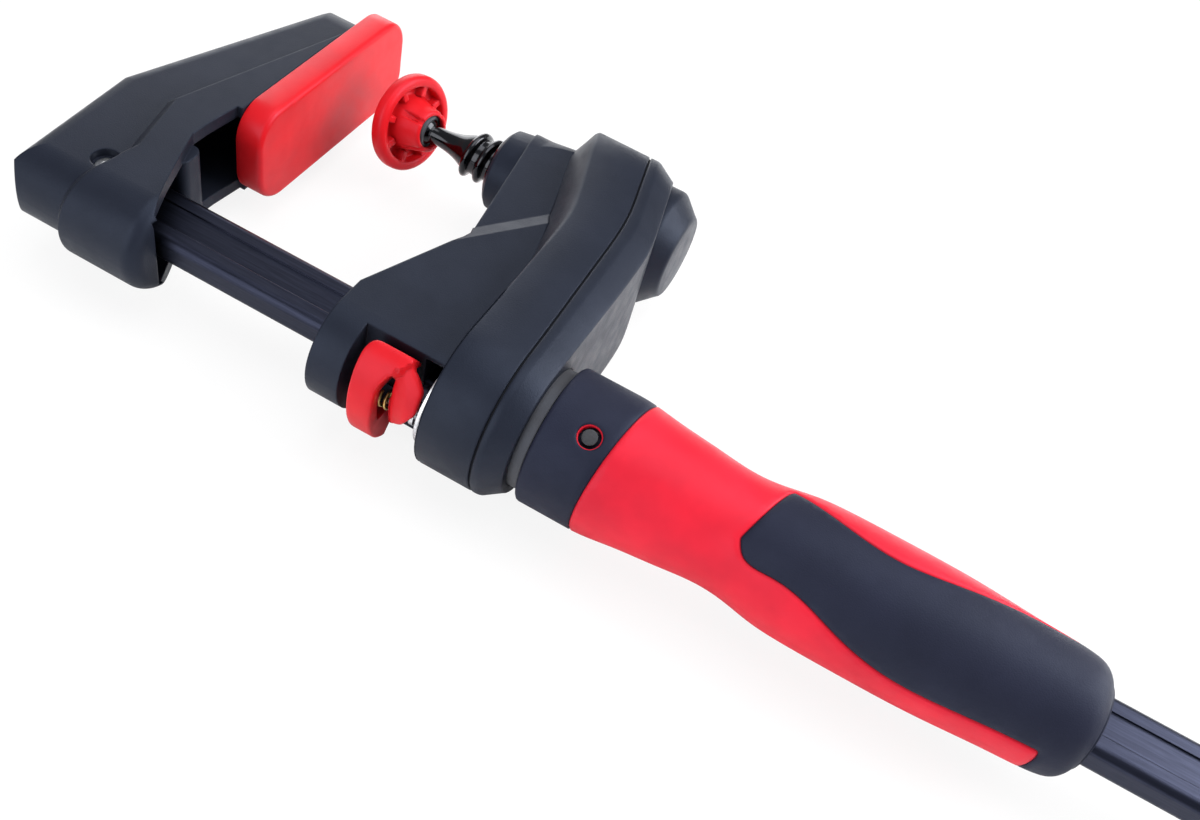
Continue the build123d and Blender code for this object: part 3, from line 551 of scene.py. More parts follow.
class GripSkin:
    """The handle's outline rolled out flat: u runs along the profile, v round the axis."""

    def __init__(self, shape):
        waist = smooth_curve(GRIP_OUTLINE, (1, 0), (0.35, -1))
        profile = [(0.0, 15.0), (0.12, 15.5), (0.45, 15.88), (0.9, COLLAR_RADIUS)]
        profile += [(x, COLLAR_RADIUS) for x in range(2, 13)] + waist
        self.x, self.r = np.array(profile).T
        self.u = np.concatenate(([0.0], np.cumsum(np.hypot(np.diff(self.x), np.diff(self.r)))))
        self.low = math.radians(SEAM_ANGLE) * DEVELOPED
        self.high = self.low + 2 * math.pi * DEVELOPED
        self.groove = shape.groove / MM
        self.half = shape.groove_half / MM
        self.edges = []
        self.points = []
        self.depth = []

    def at(self, x):
        return float(np.interp(x, self.x, self.u))

    def place(self, u, v, sink):
        x = float(np.interp(u, self.u, self.x))
        r = float(np.interp(u, self.u, self.r)) - sink
        angle = v / DEVELOPED
        return (COLLAR_X + x, RAIL_Y + r * math.cos(angle), r * math.sin(angle))

    def rolled(self, x, across, middle):
        """Point of the flat skin for a place beside a tongue's middle line."""
        r = float(np.interp(x, self.x, self.r))
        return self.at(x), (math.radians(middle) + math.asin(max(-1, min(1, across / r)))) * DEVELOPED

    def border(self):
        """Line between the red shell and the black tongues and end."""
        line = [(self.at(TONGUE_END), self.low)]
        radii = {}
        for middle in TONGUE_ANGLES:
            lower = smooth_curve(TONGUE_LOWER, (0.5, 1), (1, -0.05), 8)
            upper = smooth_curve(TONGUE_UPPER, (1, 0.1), (1, -0.07), 8)
            first = [p for p in upper if p[0] <= TONGUE_END + 0.2]
            second = [p for p in lower if p[0] <= TONGUE_END + 0.2]
            radii[len(line)] = TONGUE_CORNER
            line += [self.rolled(x, across, middle) for x, across in first[::-1]]
            radii[len(line) - 1] = radii[len(line)] = SHELL_CORNER
            line += [self.rolled(x, across, middle) for x, across in second]
            radii[len(line) - 1] = TONGUE_CORNER
        line.append((self.at(TONGUE_END), self.high))
        return resample(round_corners(line, radii), 0.55)

    def seam(self):
        """Tilted line between the collar and the red shell."""
        line = []
        for k in range(241):
            v = self.low + (self.high - self.low) * k / 240
            lean = COLLAR_LEAN * math.cos(v / DEVELOPED - math.radians(COLLAR_LEAN_ANGLE))
            line.append((self.at(COLLAR_SEAM + lean), v))
        return resample(line, 0.8)

    def add_line(self, points, sink, closed=False):
        first = len(self.points)
        self.points += [tuple(p) for p in points]
        self.depth += [sink] * len(points)
        count = len(points)
        for i in range(count if closed else count - 1):
            self.edges.append((first + i, first + (i + 1) % count))

    def build(self):
        border, seam = self.border(), self.seam()
        for line in (border, seam):
            self.add_line(line, self.groove)
            for side in (-1, 1):
                self.add_line(shifted(line, side * self.half * 0.45), self.groove * 0.55)
                self.add_line(shifted(line, side * self.half), 0.0)
        holes = []
        for angle in SCREW_ANGLES:
            middle = Vector((self.at(SCREW_X), math.radians(angle) * DEVELOPED))
            rims = []
            for reach, sink in SCREW_RIMS:
                across = reach * DEVELOPED / COLLAR_RADIUS
                rims.append([(middle.x + reach * math.cos(a), middle.y + across * math.sin(a))
                             for a in circle(36)])
                self.add_line(rims[-1], sink, closed=True)
            holes.append(rims[0])
        near = np.array(self.points)
        rows = [self.u[0] + 0.001] + list(self.u[1:15])
        rows += list(np.arange(self.u[15] + 1.0, self.at(116), 1.1))
        rows += list(np.linspace(self.at(116.2), self.u[-1], 16))
        count = 78
        for u in rows:
            for k in range(count + 1):
                v = self.low + (self.high - self.low) * k / count
                gap = np.min(np.hypot(near[:, 0] - u, near[:, 1] - v))
                if gap > (0.35 if k in (0, count) else 0.75):
                    self.add_line([(u, v)], 0.0)
        # Flat triangles over every zone
        points = [Vector(p) for p in self.points]
        flat, _, faces, origin = delaunay_2d_cdt(points, self.edges, [], 0, 1e-6)[:4]
        self.flat = [tuple(p) for p in flat]
        self.sink = [self.depth[o[0]] if o else 0.0 for o in origin]
        far = self.u[-1] + 5
        tail = border + [(far, self.high), (far, self.low)]
        collar = seam + [(-5.0, self.high), (-5.0, self.low)]
        self.zones = {"collar": [], "shell": [], "tail": []}
        for face in faces:
            middle = middle_of(self.flat, face)
            if any(inside(middle, hole) for hole in holes):
                continue
            if inside(middle, collar):
                self.zones["collar"].append(face)
            elif inside(middle, tail):
                self.zones["tail"].append(face)
            else:
                self.zones["shell"].append(face)

    def shell(self, form, zone, thickness):
        """Closed shell of a zone: skin, inner face and walls."""
        top, low = {}, {}

        def vertex(table, i, sink):
            u, v = self.flat[i]
            if v > self.high - 1e-4:
                v = self.low
            key = (round(u, 3), round(v, 3))
            if key not in table:
                table[key] = form.mesh.verts.new(Vector(self.place(u, v, sink)) * MM)
            return table[key]

        edges = {}
        for face in self.zones[zone]:
            outer = [vertex(top, i, self.sink[i]) for i in face]
            inner = [vertex(low, i, thickness) for i in face]
            if len(set(outer)) < 3:
                continue
            form.mesh.faces.new(outer)
            form.mesh.faces.new(inner[::-1])
            for k in range(3):
                j = (k + 1) % 3
                pair = frozenset((outer[k], outer[j]))
                edges.setdefault(pair, []).append((outer[k], outer[j], inner[k], inner[j]))
        for uses in edges.values():
            if len(uses) == 1:
                a, b, c, d = uses[0]
                form.mesh.faces.new((b, a, c, d))


class BARCLAMP_OT_handle(bpy.types.Operator):
    """Build the two-coloured handle: red shell, black collar, tongues and end"""

    bl_idname = "bar_clamp.handle"
    bl_label = "Handle"

    def execute(self, context):
        shape = context.scene.bar_clamp_handle
        skin = GripSkin(shape)
        skin.build()
        red = Form()
        skin.shell(red, "shell", shape.shell / MM)
        red.piece("handle_shell", MATERIALS["grip_red"], "handle", ("handle_grip",), 55)
        black = Form()
        skin.shell(black, "collar", COLLAR_WALL)
        skin.shell(black, "tail", shape.shell / MM)
        self.tube(black, skin)
        black.piece("handle_body", MATERIALS["grip_black"], "handle", ("handle_core",), 55)
        self.liners()
        return {"FINISHED"}

    def tube(self, form, skin):
        """Inner body under both colours, with the rail's bore and a rounded end."""
        bore = [(1.0, 10.45), (14.0, 10.45), (14.0, 8.8), (116.0, 8.8), (116.0, 9.45), (122.9, 9.45)]
        under = [(x, float(np.interp(x, skin.x, skin.r)) - 1.7) for x in
                 (121.5, 120.0, 117.0, 105.0, 90.0, 74.0, 62.0, 55.0, 48.0, 42.0, 33.0, 22.5, 17.0)]
        tube = bore + [(122.9, 9.5)] + under + [(13.5, 13.35), (1.0, 13.35)]
        lip = [(skin.x[-1], skin.r[-1]), (123.1, 8.9), (123.3, 8.4), (123.3, 8.2), (122.9, 8.2), (122.0, 9.0)]
        form.turned(tube + tube[:1], 64, RAIL_Y)
        form.turned(lip + lip[:1], 96, RAIL_Y)

    def liners(self):
        """Red rims inside the three holes of the collar."""
        form = Form()
        middle = Vector((COLLAR_X + SCREW_X, RAIL_Y, 0))
        section = [(2.74, 13.3), (2.74, 15.35), (2.55, 15.35), (2.45, 15.2), (2.45, 13.3), (2.74, 13.3)]
        for angle in SCREW_ANGLES:
            out = Vector((0, math.cos(math.radians(angle)), math.sin(math.radians(angle))))
            line = [middle + out * radius + Vector((reach, 0, 0)) for reach, radius in section]
            form.spin(line, middle, out, 32)
        form.piece("screw_hole_rims", MATERIALS["grip_red"], "handle", ())


# Gear housing


# Lines along the case: height above the rail's axis, station beside the collar
SEAM = [(-19, -9.3), (-4.6, -9.4), (10, -9.8), (22.5, -10.3), (35.4, -10.8), (45, -11.3),
        (53, -12.3), (61, -14.1), (69, -16.0), (86.5, -20.4)]
FRONT = [(-19, -22.4), (19.6, -22.5), (33.7, -22.7), (41.2, -22.9), (46.6, -23.6), (52.9, -25.3),
         (61, -27.8), (67.8, -29.9), (86.5, -35.3)]
INNER = [(-19, -22.4), (17.0, -22.4), (22.0, -23.0), (34, -25.8), (45.2, -28.4), (52.9, -30.4),
         (60.4, -32.6), (68.8, -35.0), (79.5, -37.6), (86.5, -39.4)]
RIDGE = [(-19, -7.3), (10, -7.4), (25, -7.7), (40, -8.0), (47.5, -8.4), (57.6, -10.4), (65, -12.2),
         (86.5, -17.4)]
REAR = [(-19, -2.8), (10, -2.8), (40, -2.9), (47.5, -3.4), (57.6, -5.5), (67.5, -7.9), (86.5, -12.7)]
CASE_RADIUS, NOSE_RADIUS = 19.0, 12.0
SPINDLE_BORE = 7.4
RECESS_FLOOR, BACK_FACE = -20.8, -19.0
REAR_WALL = 1.8
REAR_SLOPE = 3.0


def along(points, shift=0.0):
    """Smooth station X beside the collar as a function of the height above the rail's axis."""
    ways = np.diff(np.array(points, float), axis=0)
    curve = np.array(smooth_curve(points, ways[0], ways[-1], 12))
    return lambda y, z=0.0: float(np.interp(y, curve[:, 0], curve[:, 1])) + shift


def slot_outline(radius, ends=28, sides=34):
    """Closed outline (y, z) round the two gear axes, heights counted from the rail's axis."""
    top = [(AXES_GAP + radius * math.cos(a), radius * math.sin(a))
           for a in arc_steps(-math.pi / 2, math.pi / 2, ends)]
    foot = [(radius * math.cos(a), radius * math.sin(a))
            for a in arc_steps(math.pi / 2, 3 * math.pi / 2, ends)]
    down = [(AXES_GAP * (1 - k / sides), radius) for k in range(1, sides)]
    up = [(AXES_GAP * k / sides, -radius) for k in range(1, sides)]
    return top + down + foot + up


def disc_outline(y, radius):
    return [(y + radius * math.cos(a), radius * math.sin(a)) for a in circle(64)]


def bar_outline(low, high, half, corner_low, corner_high):
    points = rounded_outline(low + RAIL_Y, high + RAIL_Y, half, corner_low, corner_high, steps=8, spans=4)
    return [(y - RAIL_Y, z) for y, z in points]


def upright(x, y, z):
    """Point of a sheet that crosses the rail, from its station, height above the rail and side."""
    return Vector((COLLAR_X + x, RAIL_Y + y, z)) * MM


class Plate:
    """Rings that lie on curved sheets, and fills between them."""

    def __init__(self, form, place=upright):
        self.form = form
        self.place = place

    def vert(self, u, v, height):
        return self.form.mesh.verts.new(self.place(height(u, v), u, v))

    def ring(self, outline, height):
        return [(u, v, self.vert(u, v, height)) for u, v in outline]

    def skin(self, rows):
        self.form.skin([[p[2] for p in row] for row in rows])

    def fill(self, outer, holes, height, step=3.0):
        """Sheet between a ring and its holes."""
        border = [(p[0], p[1]) for p in outer]
        gaps = [[(p[0], p[1]) for p in hole] for hole in holes]
        known = list(outer)
        edges = [(i, (i + 1) % len(outer)) for i in range(len(outer))]
        for hole in holes:
            first = len(known)
            known += hole
            edges += [(first + i, first + (i + 1) % len(hole)) for i in range(len(hole))]
        near = np.array([(p[0], p[1]) for p in known])
        low, high = near.min(axis=0), near.max(axis=0)
        points = [Vector((p[0], p[1])) for p in known]
        for y in np.arange(low[0] + step / 2, high[0], step):
            for z in np.arange(low[1] + step / 2, high[1], step):
                if np.min(np.hypot(near[:, 0] - y, near[:, 1] - z)) > step * 0.4 and inside((y, z), border) \
                        and not any(inside((y, z), gap) for gap in gaps):
                    points.append(Vector((y, z)))
        flat, _, faces, origin = delaunay_2d_cdt(points, edges, [], 0, 1e-6)[:4]
        verts = []
        for p, source in zip(flat, origin):
            old = [s for s in source if s < len(known)]
            verts.append(known[old[0]][2] if old else self.vert(p[0], p[1], height))
        for face in faces:
            middle = middle_of(flat, face)
            if inside(middle, border) and not any(inside(middle, gap) for gap in gaps):
                corners = [verts[i] for i in face]
                if len(set(corners)) == 3:
                    self.form.mesh.faces.new(corners)


class BARCLAMP_OT_housing(bpy.types.Operator):
    """Build the gear housing: front shell, gasket, rear cover and end cap"""

    bl_idname = "bar_clamp.housing"
    bl_label = "Gear Housing"

    def execute(self, context):
        shape = context.scene.bar_clamp_housing
        self.wall = shape.wall / MM
        self.soft = shape.edge / MM
        self.front()
        self.gasket()
        self.rear()
        self.cap()
        return {"FINISHED"}

    def rings(self, plate, levels):
        rows = [plate.ring(slot_outline(CASE_RADIUS - depth), height) for depth, height in levels]
        plate.skin(rows)
        return rows

    def front(self):
        form = Form()
        plate = Plate(form)
        wall, soft = self.wall, self.soft
        face, back, rim = along(INNER), along(INNER, 2.0), along(FRONT)

        def inner_face(y, z):
            return BACK_FACE + (min(back(y), BACK_FACE) - BACK_FACE) * ease((y - 16) / 10)

        def bevel(share):
            """Outline on the nose's bevel: wide beside the arm, a narrow rim round the rail."""
            outline = []
            for (y, z), (y0, z0) in zip(slot_outline(CASE_RADIUS), slot_outline(NOSE_RADIUS)):
                k = share * (0.06 + 0.94 * ease((y - 12) / 9))
                outline.append((y + (y0 - y) * k, z + (z0 - z) * k))
            return outline

        levels = [(wall, along(FRONT, 3.0)), (wall, along(SEAM)), (0.25, along(SEAM)),
                  (0.06, along(SEAM, -0.08)), (0.0, along(SEAM, -0.3)), (0.0, along(FRONT, soft)),
                  (soft * 0.3, along(FRONT, soft * 0.25))]
        rows = self.rings(plate, levels)
        slope = [rows[-1]]
        for share in (0.12, 0.5, 0.95, 1.0):
            slope.append(plate.ring(bevel(share), lambda y, z, m=share: rim(y) * (1 - m) + face(y) * m))
        plate.skin(slope)
        rail_gap = bar_outline(-8.0, 8.0, 4.25, 2.5, 2.5)
        recess = bar_outline(-17.3, 13.4, 11.6, 11.0, 0.5)
        bore_gap = disc_outline(AXES_GAP, SPINDLE_BORE)
        mouth, bore = plate.ring(recess, face), plate.ring(bore_gap, face)
        plate.fill(slope[-1], [mouth, bore], face)
        floor = plate.ring(recess, lambda y, z: RECESS_FLOOR)
        rail = plate.ring(rail_gap, lambda y, z: RECESS_FLOOR)
        plate.fill(floor, [rail], lambda y, z: RECESS_FLOOR)
        rail_back, bore_back = plate.ring(rail_gap, lambda y, z: BACK_FACE), plate.ring(bore_gap, inner_face)
        inner_rim = plate.ring(slot_outline(NOSE_RADIUS), inner_face)
        for pair in ((mouth, floor), (rail, rail_back), (bore, bore_back), (inner_rim, rows[0])):
            plate.skin(pair)
        plate.fill(inner_rim, [rail_back, bore_back], inner_face)
        form.piece("housing_front", MATERIALS["black"], "slider", ("gear_housing",), 30)

    def gasket(self):
        form = Form()
        plate = Plate(form)
        low, high = along(SEAM, -0.05), along(SEAM, 0.5)
        rows = self.rings(plate, [(0.5, low), (0.5, high), (self.wall, high), (self.wall, low)])
        plate.skin([rows[-1], rows[0]])
        form.piece("seam_gasket", MATERIALS["gasket"], "slider", ("housing_gasket",))

    def rear(self):
        form = Form()
        plate = Plate(form)
        wall, soft = self.wall, self.soft
        levels = [(wall, along(RIDGE)), (wall, along(SEAM, 0.45)), (0.25, along(SEAM, 0.45)),
                  (0.06, along(SEAM, 0.53)), (0.0, along(SEAM, 0.75)), (0.0, along(RIDGE, -soft * 0.7)),
                  (soft * 0.12, along(RIDGE, -soft * 0.1)), (soft * 0.4, along(RIDGE, soft * 0.7)),
                  (REAR_SLOPE - soft * 0.4, along(REAR, -soft * 0.7)),
                  (REAR_SLOPE - soft * 0.12, along(REAR, -soft * 0.2)), (REAR_SLOPE + 0.1, along(REAR))]
        rows = self.rings(plate, levels)
        face, back = along(REAR), along(REAR, -REAR_WALL)
        holes = [disc_outline(0.0, 14.1), disc_outline(AXES_GAP, 15.25)]
        outer = [plate.ring(hole, face) for hole in holes]
        inner = [plate.ring(hole, back) for hole in holes]
        for pair in zip(outer, inner):
            plate.skin(pair)
        plate.fill(rows[-1], outer, face)
        rim = plate.ring(slot_outline(CASE_RADIUS - REAR_SLOPE - 0.3), back)
        plate.skin([rim, rows[0]])
        plate.fill(rim, inner, back)
        form.piece("housing_cover", MATERIALS["black"], "slider", ("rear_cover",), 30)

    def cap(self):
        form = Form()
        inner = [(-3.0, 0.05), (-3.0, 4.0), (-3.4, 10.5), (-10.8, 13.0)]
        outer = [(-13.4, 13.0), (-13.4, 15.2), (-7.1, 15.2), (-6.5, 15.12), (-6.0, 14.9), (-5.5, 14.5),
                 (-2.3, 11.5), (-1.7, 11.0), (-1.35, 10.7), (-1.1, 10.3), (-1.0, 9.8), (-1.0, 4.0),
                 (-1.0, 0.05)]
        form.turned(inner + outer, 96)
        form.piece("gear_end_cap", MATERIALS["black"], "slider", ("spindle_end_cap",), 60)


# Jaw pad


class BARCLAMP_OT_pad(bpy.types.Operator):
    """Build the deep cap over the fixed jaw's clamping side"""

    bl_idname = "bar_clamp.pad"
    bl_label = "Jaw Pad"

    def execute(self, context):
        shape = context.scene.bar_clamp_pad
        depth, edge = shape.depth / MM, shape.edge / MM
        low, high, half, corner = RAIL_Y + 28, RAIL_Y + 90, 13.0, 8.5

        def ring(x, depth):
            return [(x, y, z) for y, z in rounded_outline(low, high, half, corner, corner, depth)]

        levels = [(-3.0, 8.0), (-3.0, 2.3), (-depth, 2.3), (-depth, 0.5), (-depth + 0.15, 0.15),
                  (-depth + 0.45, 0.0), (-edge - 0.6, 0.0)]
        levels += [(-edge + edge * math.sin(math.radians(a)), edge - edge * math.cos(math.radians(a)))
                   for a in (0, 12, 24, 36, 48, 60, 72, 82, 90)]
        levels += [(0.0, 3.0), (0.0, 8.0)]
        form = Form()
        form.loft([ring(*level) for level in levels])
        form.piece("jaw_pad", MATERIALS["red"], "frame", ("fixed_jaw_pad",))
        return {"FINISHED"}


# Spindle and swivel plate


class BARCLAMP_OT_spindle(bpy.types.Operator):
    """Build the necked spindle with its rounded left-hand thread"""

    bl_idname = "bar_clamp.spindle"
    bl_label = "Spindle"

    def execute(self, context):
        shape = context.scene.bar_clamp_spindle
        pitch, crest, core, neck = (v / MM for v in (shape.pitch, shape.crest, shape.core, shape.neck))
        stations = [(3.2, 2.7), (3.7, neck), (6.2, neck), (8.0, 2.62), (10.2, 3.05), (12.0, 3.65),
                    (13.6, 4.45), (14.8, core), (43.5, core)]

        def base(s):
            for (s0, r0), (s1, r1) in zip(stations, stations[1:]):
                if s <= s1:
                    return r0 + (r1 - r0) * (s - s0) / (s1 - s0)
            return core

        def soft_base(s):
            return sum(base(s + k * 0.35) for k in range(-3, 4)) / 7 if s > 5 else base(s)

        form = Form()
        count, steps, first, last = 72, 300, 3.4, 43.3
        ball, crest_station, ridge_half = 4.2, 17.1, 1.2
        rows = []
        for a in range(-79, 54, 11):
            lean = math.radians(a)
            rows.append(around(BALL_X + ball * math.sin(lean), ball * math.cos(lean), count))
        for k in range(steps + 1):
            s = first + (last - first) * k / steps
            core_here = soft_base(s)
            points = []
            for angle in circle(count):
                turns = (angle - shape.start) / (2 * math.pi)
                crests = (s - crest_station) / pitch + turns
                nearest = round(crests)
                off = (crests - nearest) * pitch
                ridge = max(0.0, 1 - (off / ridge_half)**2)**0.6
                fade = ease((nearest - turns + 0.80) / 0.28)
                r = core_here + max(0.0, crest - core_here) * ridge * fade
                points.append((BALL_X + s, r * math.cos(angle), r * math.sin(angle)))
            rows.append(points)
        for s, r in ((43.5, core - 0.4), (43.5, 3.2), (14.5, 3.2), (12.1, 2.95)):
            rows.append(around(BALL_X + s, r, count))
        form.loft(rows)
        form.piece("spindle_turned", MATERIALS["spindle"], "spindle_body", ("spindle",),
                   80)
        return {"FINISHED"}


class BARCLAMP_OT_plate(bpy.types.Operator):
    """Build the swivel plate with its pockets, ribs and slotted hub"""

    bl_idname = "bar_clamp.plate"
    bl_label = "Pressure Plate"

    def execute(self, context):
        shape = context.scene.bar_clamp_plate
        yaw, pitch = -shape.yaw, shape.pitch
        axis = Vector((math.cos(pitch) * math.cos(yaw), math.cos(pitch) * math.sin(yaw), math.sin(pitch)))
        u = Vector((0, 1, 0.2))
        u = (u - axis * u.dot(axis)).normalized()
        v = axis.cross(u)
        centre = Vector((BALL_X, 0, 0))
        count = 256

        def along_rib(r, angle, number, half, soft, turn=0.0):
            """1 on a radial rib or slot, 0 beside it."""
            sector = 2 * math.pi / number
            off = (angle - turn + sector / 2) % sector - sector / 2
            return 1 - ease((abs(r * math.sin(off)) - half) / soft)

        floor = -4.9
        profile = [(3.0, 0.0), (3.4, 4.3), (3.5, 4.45), (3.5, 5.05), (3.3, 5.35), (2.9, 5.5), (1.6, 5.75),
                   (0.2, 6.05), (-1.0, 6.35), (-2.2, 6.65), (-3.4, 6.95), (-4.3, 7.2), (-4.7, 7.4),
                   (floor, 7.75)]
        profile += [(floor, 8.0 + 0.2 * k) for k in range(8)]
        profile += [(floor + 0.1, 9.75), (-4.4, 9.85), (-2.7, 9.95), (-2.35, 10.05), (-2.2, 10.3),
                    (-2.2, 11.3), (-2.3, 11.8), (-2.62, 12.25), (-3.1, 12.55), (-3.6, 12.65),
                    (-5.0, 12.65), (-5.5, 12.5), (-5.85, 12.15), (-6.0, 11.7), (-6.0, 6.0), (-6.0, 0.05)]
        inner = [(3.0, 4.25), (2.4, 4.3), (2.38, 4.4), (1.6, 4.78), (0.0, 5.05), (-1.6, 4.78),
                 (-3.0, 4.05), (-4.2, 2.8), (-4.9, 1.1), (-5.0, 0.05)]
        form = Form()
        rows = []
        for w, r in inner[::-1] + profile[1:]:
            points = []
            for angle in circle(count):
                here_w, here_r = w, r
                if 7.3 < r < 9.95 and w < -2.7:
                    rib = along_rib(r, angle, 8, shape.rib / MM / 2, 0.3)
                    here_w = w + (-2.75 - w) * rib
                if 4.3 <= r < 6.6 and w > -2.2 and (w, r) not in inner:
                    cut = along_rib(r, angle, 4, shape.slot / MM / 2, 0.25, math.pi / 8)
                    here_r = r - cut * min(0.85, r - 4.5 if r > 4.5 else 0.0) * (1 if w > -1.1 else 0)
                points.append(centre + axis * here_w + (u * math.cos(angle) + v * math.sin(angle)) * here_r)
            rows.append(points)
        form.loft(rows)
        form.piece("swivel_plate", MATERIALS["red"], "plate", ("pressure_plate",), 48)
        return {"FINISHED"}


# Release button

STRAP_RADIUS = 16.0


class BARCLAMP_OT_button(bpy.types.Operator):
    """Build the release button: strap behind the rail and thumb leaf"""

    bl_idname = "bar_clamp.button"
    bl_label = "Release Button"

    def execute(self, context):
        form = Form()
        strap = Plate(form, self.around_rail)
        edge = context.scene.bar_clamp_button.edge / MM
        outline = self.outline()
        rows = [strap.ring(inset(outline, 0.4), self.under),
                strap.ring(outline, lambda x, v: self.under(x, v) + 0.5)]
        for reach, drop in ((0.0, 1.0), (0.08, 0.6), (0.3, 0.3), (0.6, 0.08), (1.0, 0.0)):
            rows.append(strap.ring(inset(outline, edge * reach),
                                   lambda x, v, sink=edge * drop: self.over(x, v) - sink))
        strap.skin(rows)
        strap.fill(rows[-1], [], self.over, 0.9)
        strap.fill(rows[0], [], self.under, 1.3)
        form.piece("button_moulding", MATERIALS["red"], "button", ("release_button",))
        return {"FINISHED"}

    def outline(self):
        """Developed border: a strap round the back, a flare beside the arm and a thumb leaf hung from it."""
        points = [(-38.2, 128.2), (-28.7, 128.2), (-28.5, 134.0), (-26.4, 139.5), (-24.5, 147.0),
                  (-24.4, 166.0), (-27.2, 182.5), (-30.5, 192.0), (-31.0, 170.0), (-31.3, 155.0),
                  (-31.2, 144.5), (-31.7, 144.8), (-33.6, 156.5), (-33.3, 180.0), (-33.6, 205.0),
                  (-33.7, 222.0), (-33.6, 232.0), (-39.5, 232.0), (-39.3, 180.0), (-39.4, 152.0),
                  (-39.2, 137.0)]
        flat = [(x, math.radians(a) * STRAP_RADIUS) for x, a in points]
        reach = dict.fromkeys(range(len(flat)), 0.9)
        reach.update({0: 1.8, 1: 0.7, 5: 1.2, 9: 1.5, 10: 0.3, 11: 0.3, 12: 1.6})
        closed = round_corners([flat[-1]] + flat + [flat[0]], {k + 1: v for k, v in reach.items()}, steps=5)
        return resample(closed[1:-1] + [closed[1]], 0.7)[:-1]

    def leaf(self, x, v):
        """1 on the thumb leaf, 0 on the strap."""
        turn = math.degrees(v / STRAP_RADIUS)
        start = 131.5 + 5.8 * max(0.0, -28.9 - x)
        return ease((x + 32.4) / 0.7) * ease((turn - start) / 3.5) * ease((206 - turn) / 8)

    def over(self, x, v):
        """Radius of the outer face."""
        turn = math.degrees(v / STRAP_RADIUS)
        ridge = min(-26.3, -28.6 + 0.12 * (turn - 143))
        dish = 17.3 - 0.28 * max(0.0, ridge - x) - 0.1 * max(0.0, x - ridge)
        back = 18.3 + ease((58.0 - abs(turn - 180)) / 20)
        return back + (dish - back) * self.leaf(x, v)

    def under(self, x, v):
        """Radius of the inner face, with a channel behind the rail."""
        turn = math.degrees(v / STRAP_RADIUS)
        channel = 3.6 * ease((25.0 - abs(turn - 180)) / 8)
        skin = max(self.over(x, v) - 1.7, 15.65 - 9.0 * ease((abs(turn - 180) - 14.0) / 16))
        return 12.2 + channel + (skin - 12.2 - channel) * self.leaf(x, v)

    def around_rail(self, r, x, v):
        angle = v / STRAP_RADIUS
        return Vector((COLLAR_X + x, RAIL_Y + r * math.cos(angle), r * math.sin(angle))) * MM


# Finish and studio

# Name, place, aim, width and power of each lamp
LAMPS = (
    ("key", (0.12, 0.10, 0.82), (0.10, 0.0, 0.0), 0.9, 5.8),
    ("side", (-0.15, -0.65, 0.28), (0.10, -0.03, 0.0), 0.7, 3.5),
    ("left", (-0.45, 0.60, 0.16), (0.02, 0.0, 0.0), 0.6, 2.8),
    ("rear", (0.65, 0.25, 0.35), (0.15, -0.03, 0.0), 0.6, 8.0),
)
# Right, up and back of the camera, as fitted to the rail, jaws, collar and housing
CAMERA_AXES = (
    (0.86973542, 0.45130992, 0.19969893),
    (-0.46800932, 0.62583148, 0.62394089),
    (0.15661283, -0.63612445, 0.75552505),
)
FLOOR_RADIUS = 1.6
FLOOR_GLOW = 0.86
WORLD_STRENGTH = 0.38


class BARCLAMP_OT_finish_nodes(bpy.types.Operator):
    """Give every CAD node its own finish"""

    bl_idname = "bar_clamp.finish_nodes"
    bl_label = "Finish CAD Nodes"

    def execute(self, context):
        make_materials()
        for node, key in NODE_MATERIALS.items():
            obj = frame["nodes"][node]
            for part in [obj] + list(obj.children_recursive):
                if part.type == "MESH":
                    for slot in part.material_slots:
                        slot.material = MATERIALS[key]
        return {"FINISHED"}


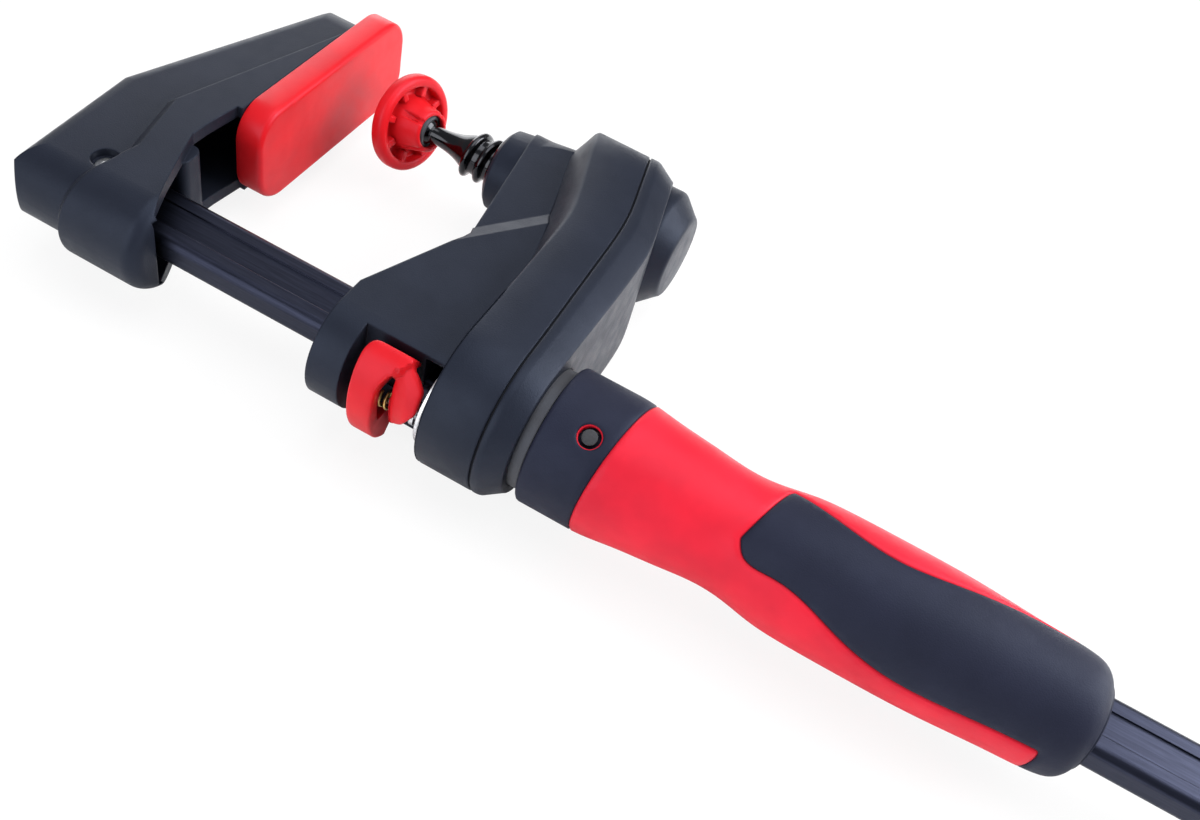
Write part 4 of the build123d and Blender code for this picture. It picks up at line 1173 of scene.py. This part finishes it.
class BARCLAMP_OT_stage(bpy.types.Operator):
    """Set up floor, lights and camera"""

    bl_idname = "bar_clamp.stage"
    bl_label = "Studio"

    def execute(self, context):
        studio = context.scene.bar_clamp_studio
        self.world(context)
        self.floor(studio)
        for lamp in LAMPS:
            self.light(*lamp)
        self.camera(context, studio)
        return {"FINISHED"}

    def world(self, context):
        world = bpy.data.worlds.new("studio")
        context.scene.world = world
        world.use_nodes = True
        nodes, links = world.node_tree.nodes, world.node_tree.links
        background = nodes["Background"]
        white = nodes.new("ShaderNodeBackground")
        white.inputs["Color"].default_value = (1, 1, 1, 1)
        white.inputs["Strength"].default_value = 1.0
        background.inputs["Color"].default_value = (0.93, 0.95, 1.0, 1)
        background.inputs["Strength"].default_value = WORLD_STRENGTH
        path = nodes.new("ShaderNodeLightPath")
        mix = nodes.new("ShaderNodeMixShader")
        links.new(path.outputs["Is Camera Ray"], mix.inputs["Fac"])
        links.new(background.outputs["Background"], mix.inputs[1])
        links.new(white.outputs["Background"], mix.inputs[2])
        links.new(mix.outputs["Shader"], nodes["World Output"].inputs["Surface"])

    def floor(self, studio):
        mesh = bpy.data.meshes.new("studio_floor")
        form = bmesh.new()
        bmesh.ops.create_circle(form, cap_ends=True, segments=96, radius=FLOOR_RADIUS)
        bmesh.ops.translate(form, verts=form.verts, vec=(0.15, 0, studio.floor))
        form.to_mesh(mesh)
        form.free()
        obj = bpy.data.objects.new("studio_floor", mesh)
        bpy.context.scene.collection.objects.link(obj)
        material = bpy.data.materials.new("pale_floor")
        material.use_nodes = True
        tree = material.node_tree
        paper = tree.nodes["Principled BSDF"]
        paper.inputs["Base Color"].default_value = (0.93, 0.93, 0.93, 1)
        paper.inputs["Roughness"].default_value = 0.9
        paper.inputs["Specular IOR Level"].default_value = 0.1
        glow = tree.nodes.new("ShaderNodeEmission")
        glow.inputs["Color"].default_value = (1, 1, 1, 1)
        path = tree.nodes.new("ShaderNodeLightPath")
        share = tree.nodes.new("ShaderNodeMath")
        share.operation = "MULTIPLY"
        share.inputs[1].default_value = FLOOR_GLOW
        tree.links.new(path.outputs["Is Camera Ray"], share.inputs[0])
        mix = tree.nodes.new("ShaderNodeMixShader")
        tree.links.new(share.outputs["Value"], mix.inputs["Fac"])
        tree.links.new(paper.outputs["BSDF"], mix.inputs[1])
        tree.links.new(glow.outputs["Emission"], mix.inputs[2])
        tree.links.new(mix.outputs["Shader"], tree.nodes["Material Output"].inputs["Surface"])
        mesh.materials.append(material)

    def light(self, name, place, target, size, power):
        lamp = bpy.data.lights.new(name, "AREA")
        lamp.shape = "DISK"
        lamp.size = size
        lamp.energy = power
        obj = bpy.data.objects.new(name, lamp)
        bpy.context.scene.collection.objects.link(obj)
        obj.location = place
        obj.rotation_euler = (Vector(target) - Vector(place)).to_track_quat("-Z", "Y").to_euler()

    def camera(self, context, studio):
        lens = bpy.data.cameras.new("camera")
        lens.sensor_fit = "HORIZONTAL"
        lens.sensor_width = 36.0
        lens.lens = studio.lens
        lens.clip_start = 0.01
        obj = bpy.data.objects.new("camera", lens)
        context.scene.collection.objects.link(obj)
        turn = Matrix(CAMERA_AXES).transposed()
        obj.matrix_world = Matrix.Translation(studio.camera) @ turn.to_4x4()
        context.scene.camera = obj
        context.scene.view_settings.view_transform = "Standard"


class BARCLAMP_PT_panel(bpy.types.Panel):
    """Finish and studio settings with one button per group"""

    bl_idname = "BARCLAMP_PT_panel"
    bl_label = "Bar Clamp"
    bl_space_type = "VIEW_3D"
    bl_region_type = "UI"
    bl_category = "Clamp"

    def draw(self, context):
        for name, kind in GROUPS.items():
            for key in kind.__annotations__:
                self.layout.prop(getattr(context.scene, name), key)
        for operator in OPERATORS:
            self.layout.operator(operator.bl_idname)


OPERATORS = (BARCLAMP_OT_finish_nodes, BARCLAMP_OT_handle, BARCLAMP_OT_housing, BARCLAMP_OT_pad,
             BARCLAMP_OT_spindle, BARCLAMP_OT_plate, BARCLAMP_OT_button, BARCLAMP_OT_stage)
GROUPS = {
    "bar_clamp_finish": BarClampFinish,
    "bar_clamp_handle": BarClampHandle,
    "bar_clamp_housing": BarClampHousing,
    "bar_clamp_pad": BarClampPad,
    "bar_clamp_spindle": BarClampSpindle,
    "bar_clamp_plate": BarClampPlate,
    "bar_clamp_button": BarClampButton,
    "bar_clamp_studio": BarClampStudio,
}
CLASSES = tuple(GROUPS.values()) + (BARCLAMP_PT_panel,) + OPERATORS


def register():
    for cls in CLASSES:
        bpy.utils.register_class(cls)
    for name, group in GROUPS.items():
        setattr(bpy.types.Scene, name, PointerProperty(type=group))


def unregister():
    for name in GROUPS:
        delattr(bpy.types.Scene, name)
    for cls in reversed(CLASSES):
        bpy.utils.unregister_class(cls)


def main():
    register()
    bpy.ops.bar_clamp.finish_nodes()
    bpy.ops.bar_clamp.handle()
    bpy.ops.bar_clamp.housing()
    bpy.ops.bar_clamp.pad()
    bpy.ops.bar_clamp.spindle()
    bpy.ops.bar_clamp.plate()
    bpy.ops.bar_clamp.button()
    bpy.ops.bar_clamp.stage()


if __name__ == "__main__":
    main()
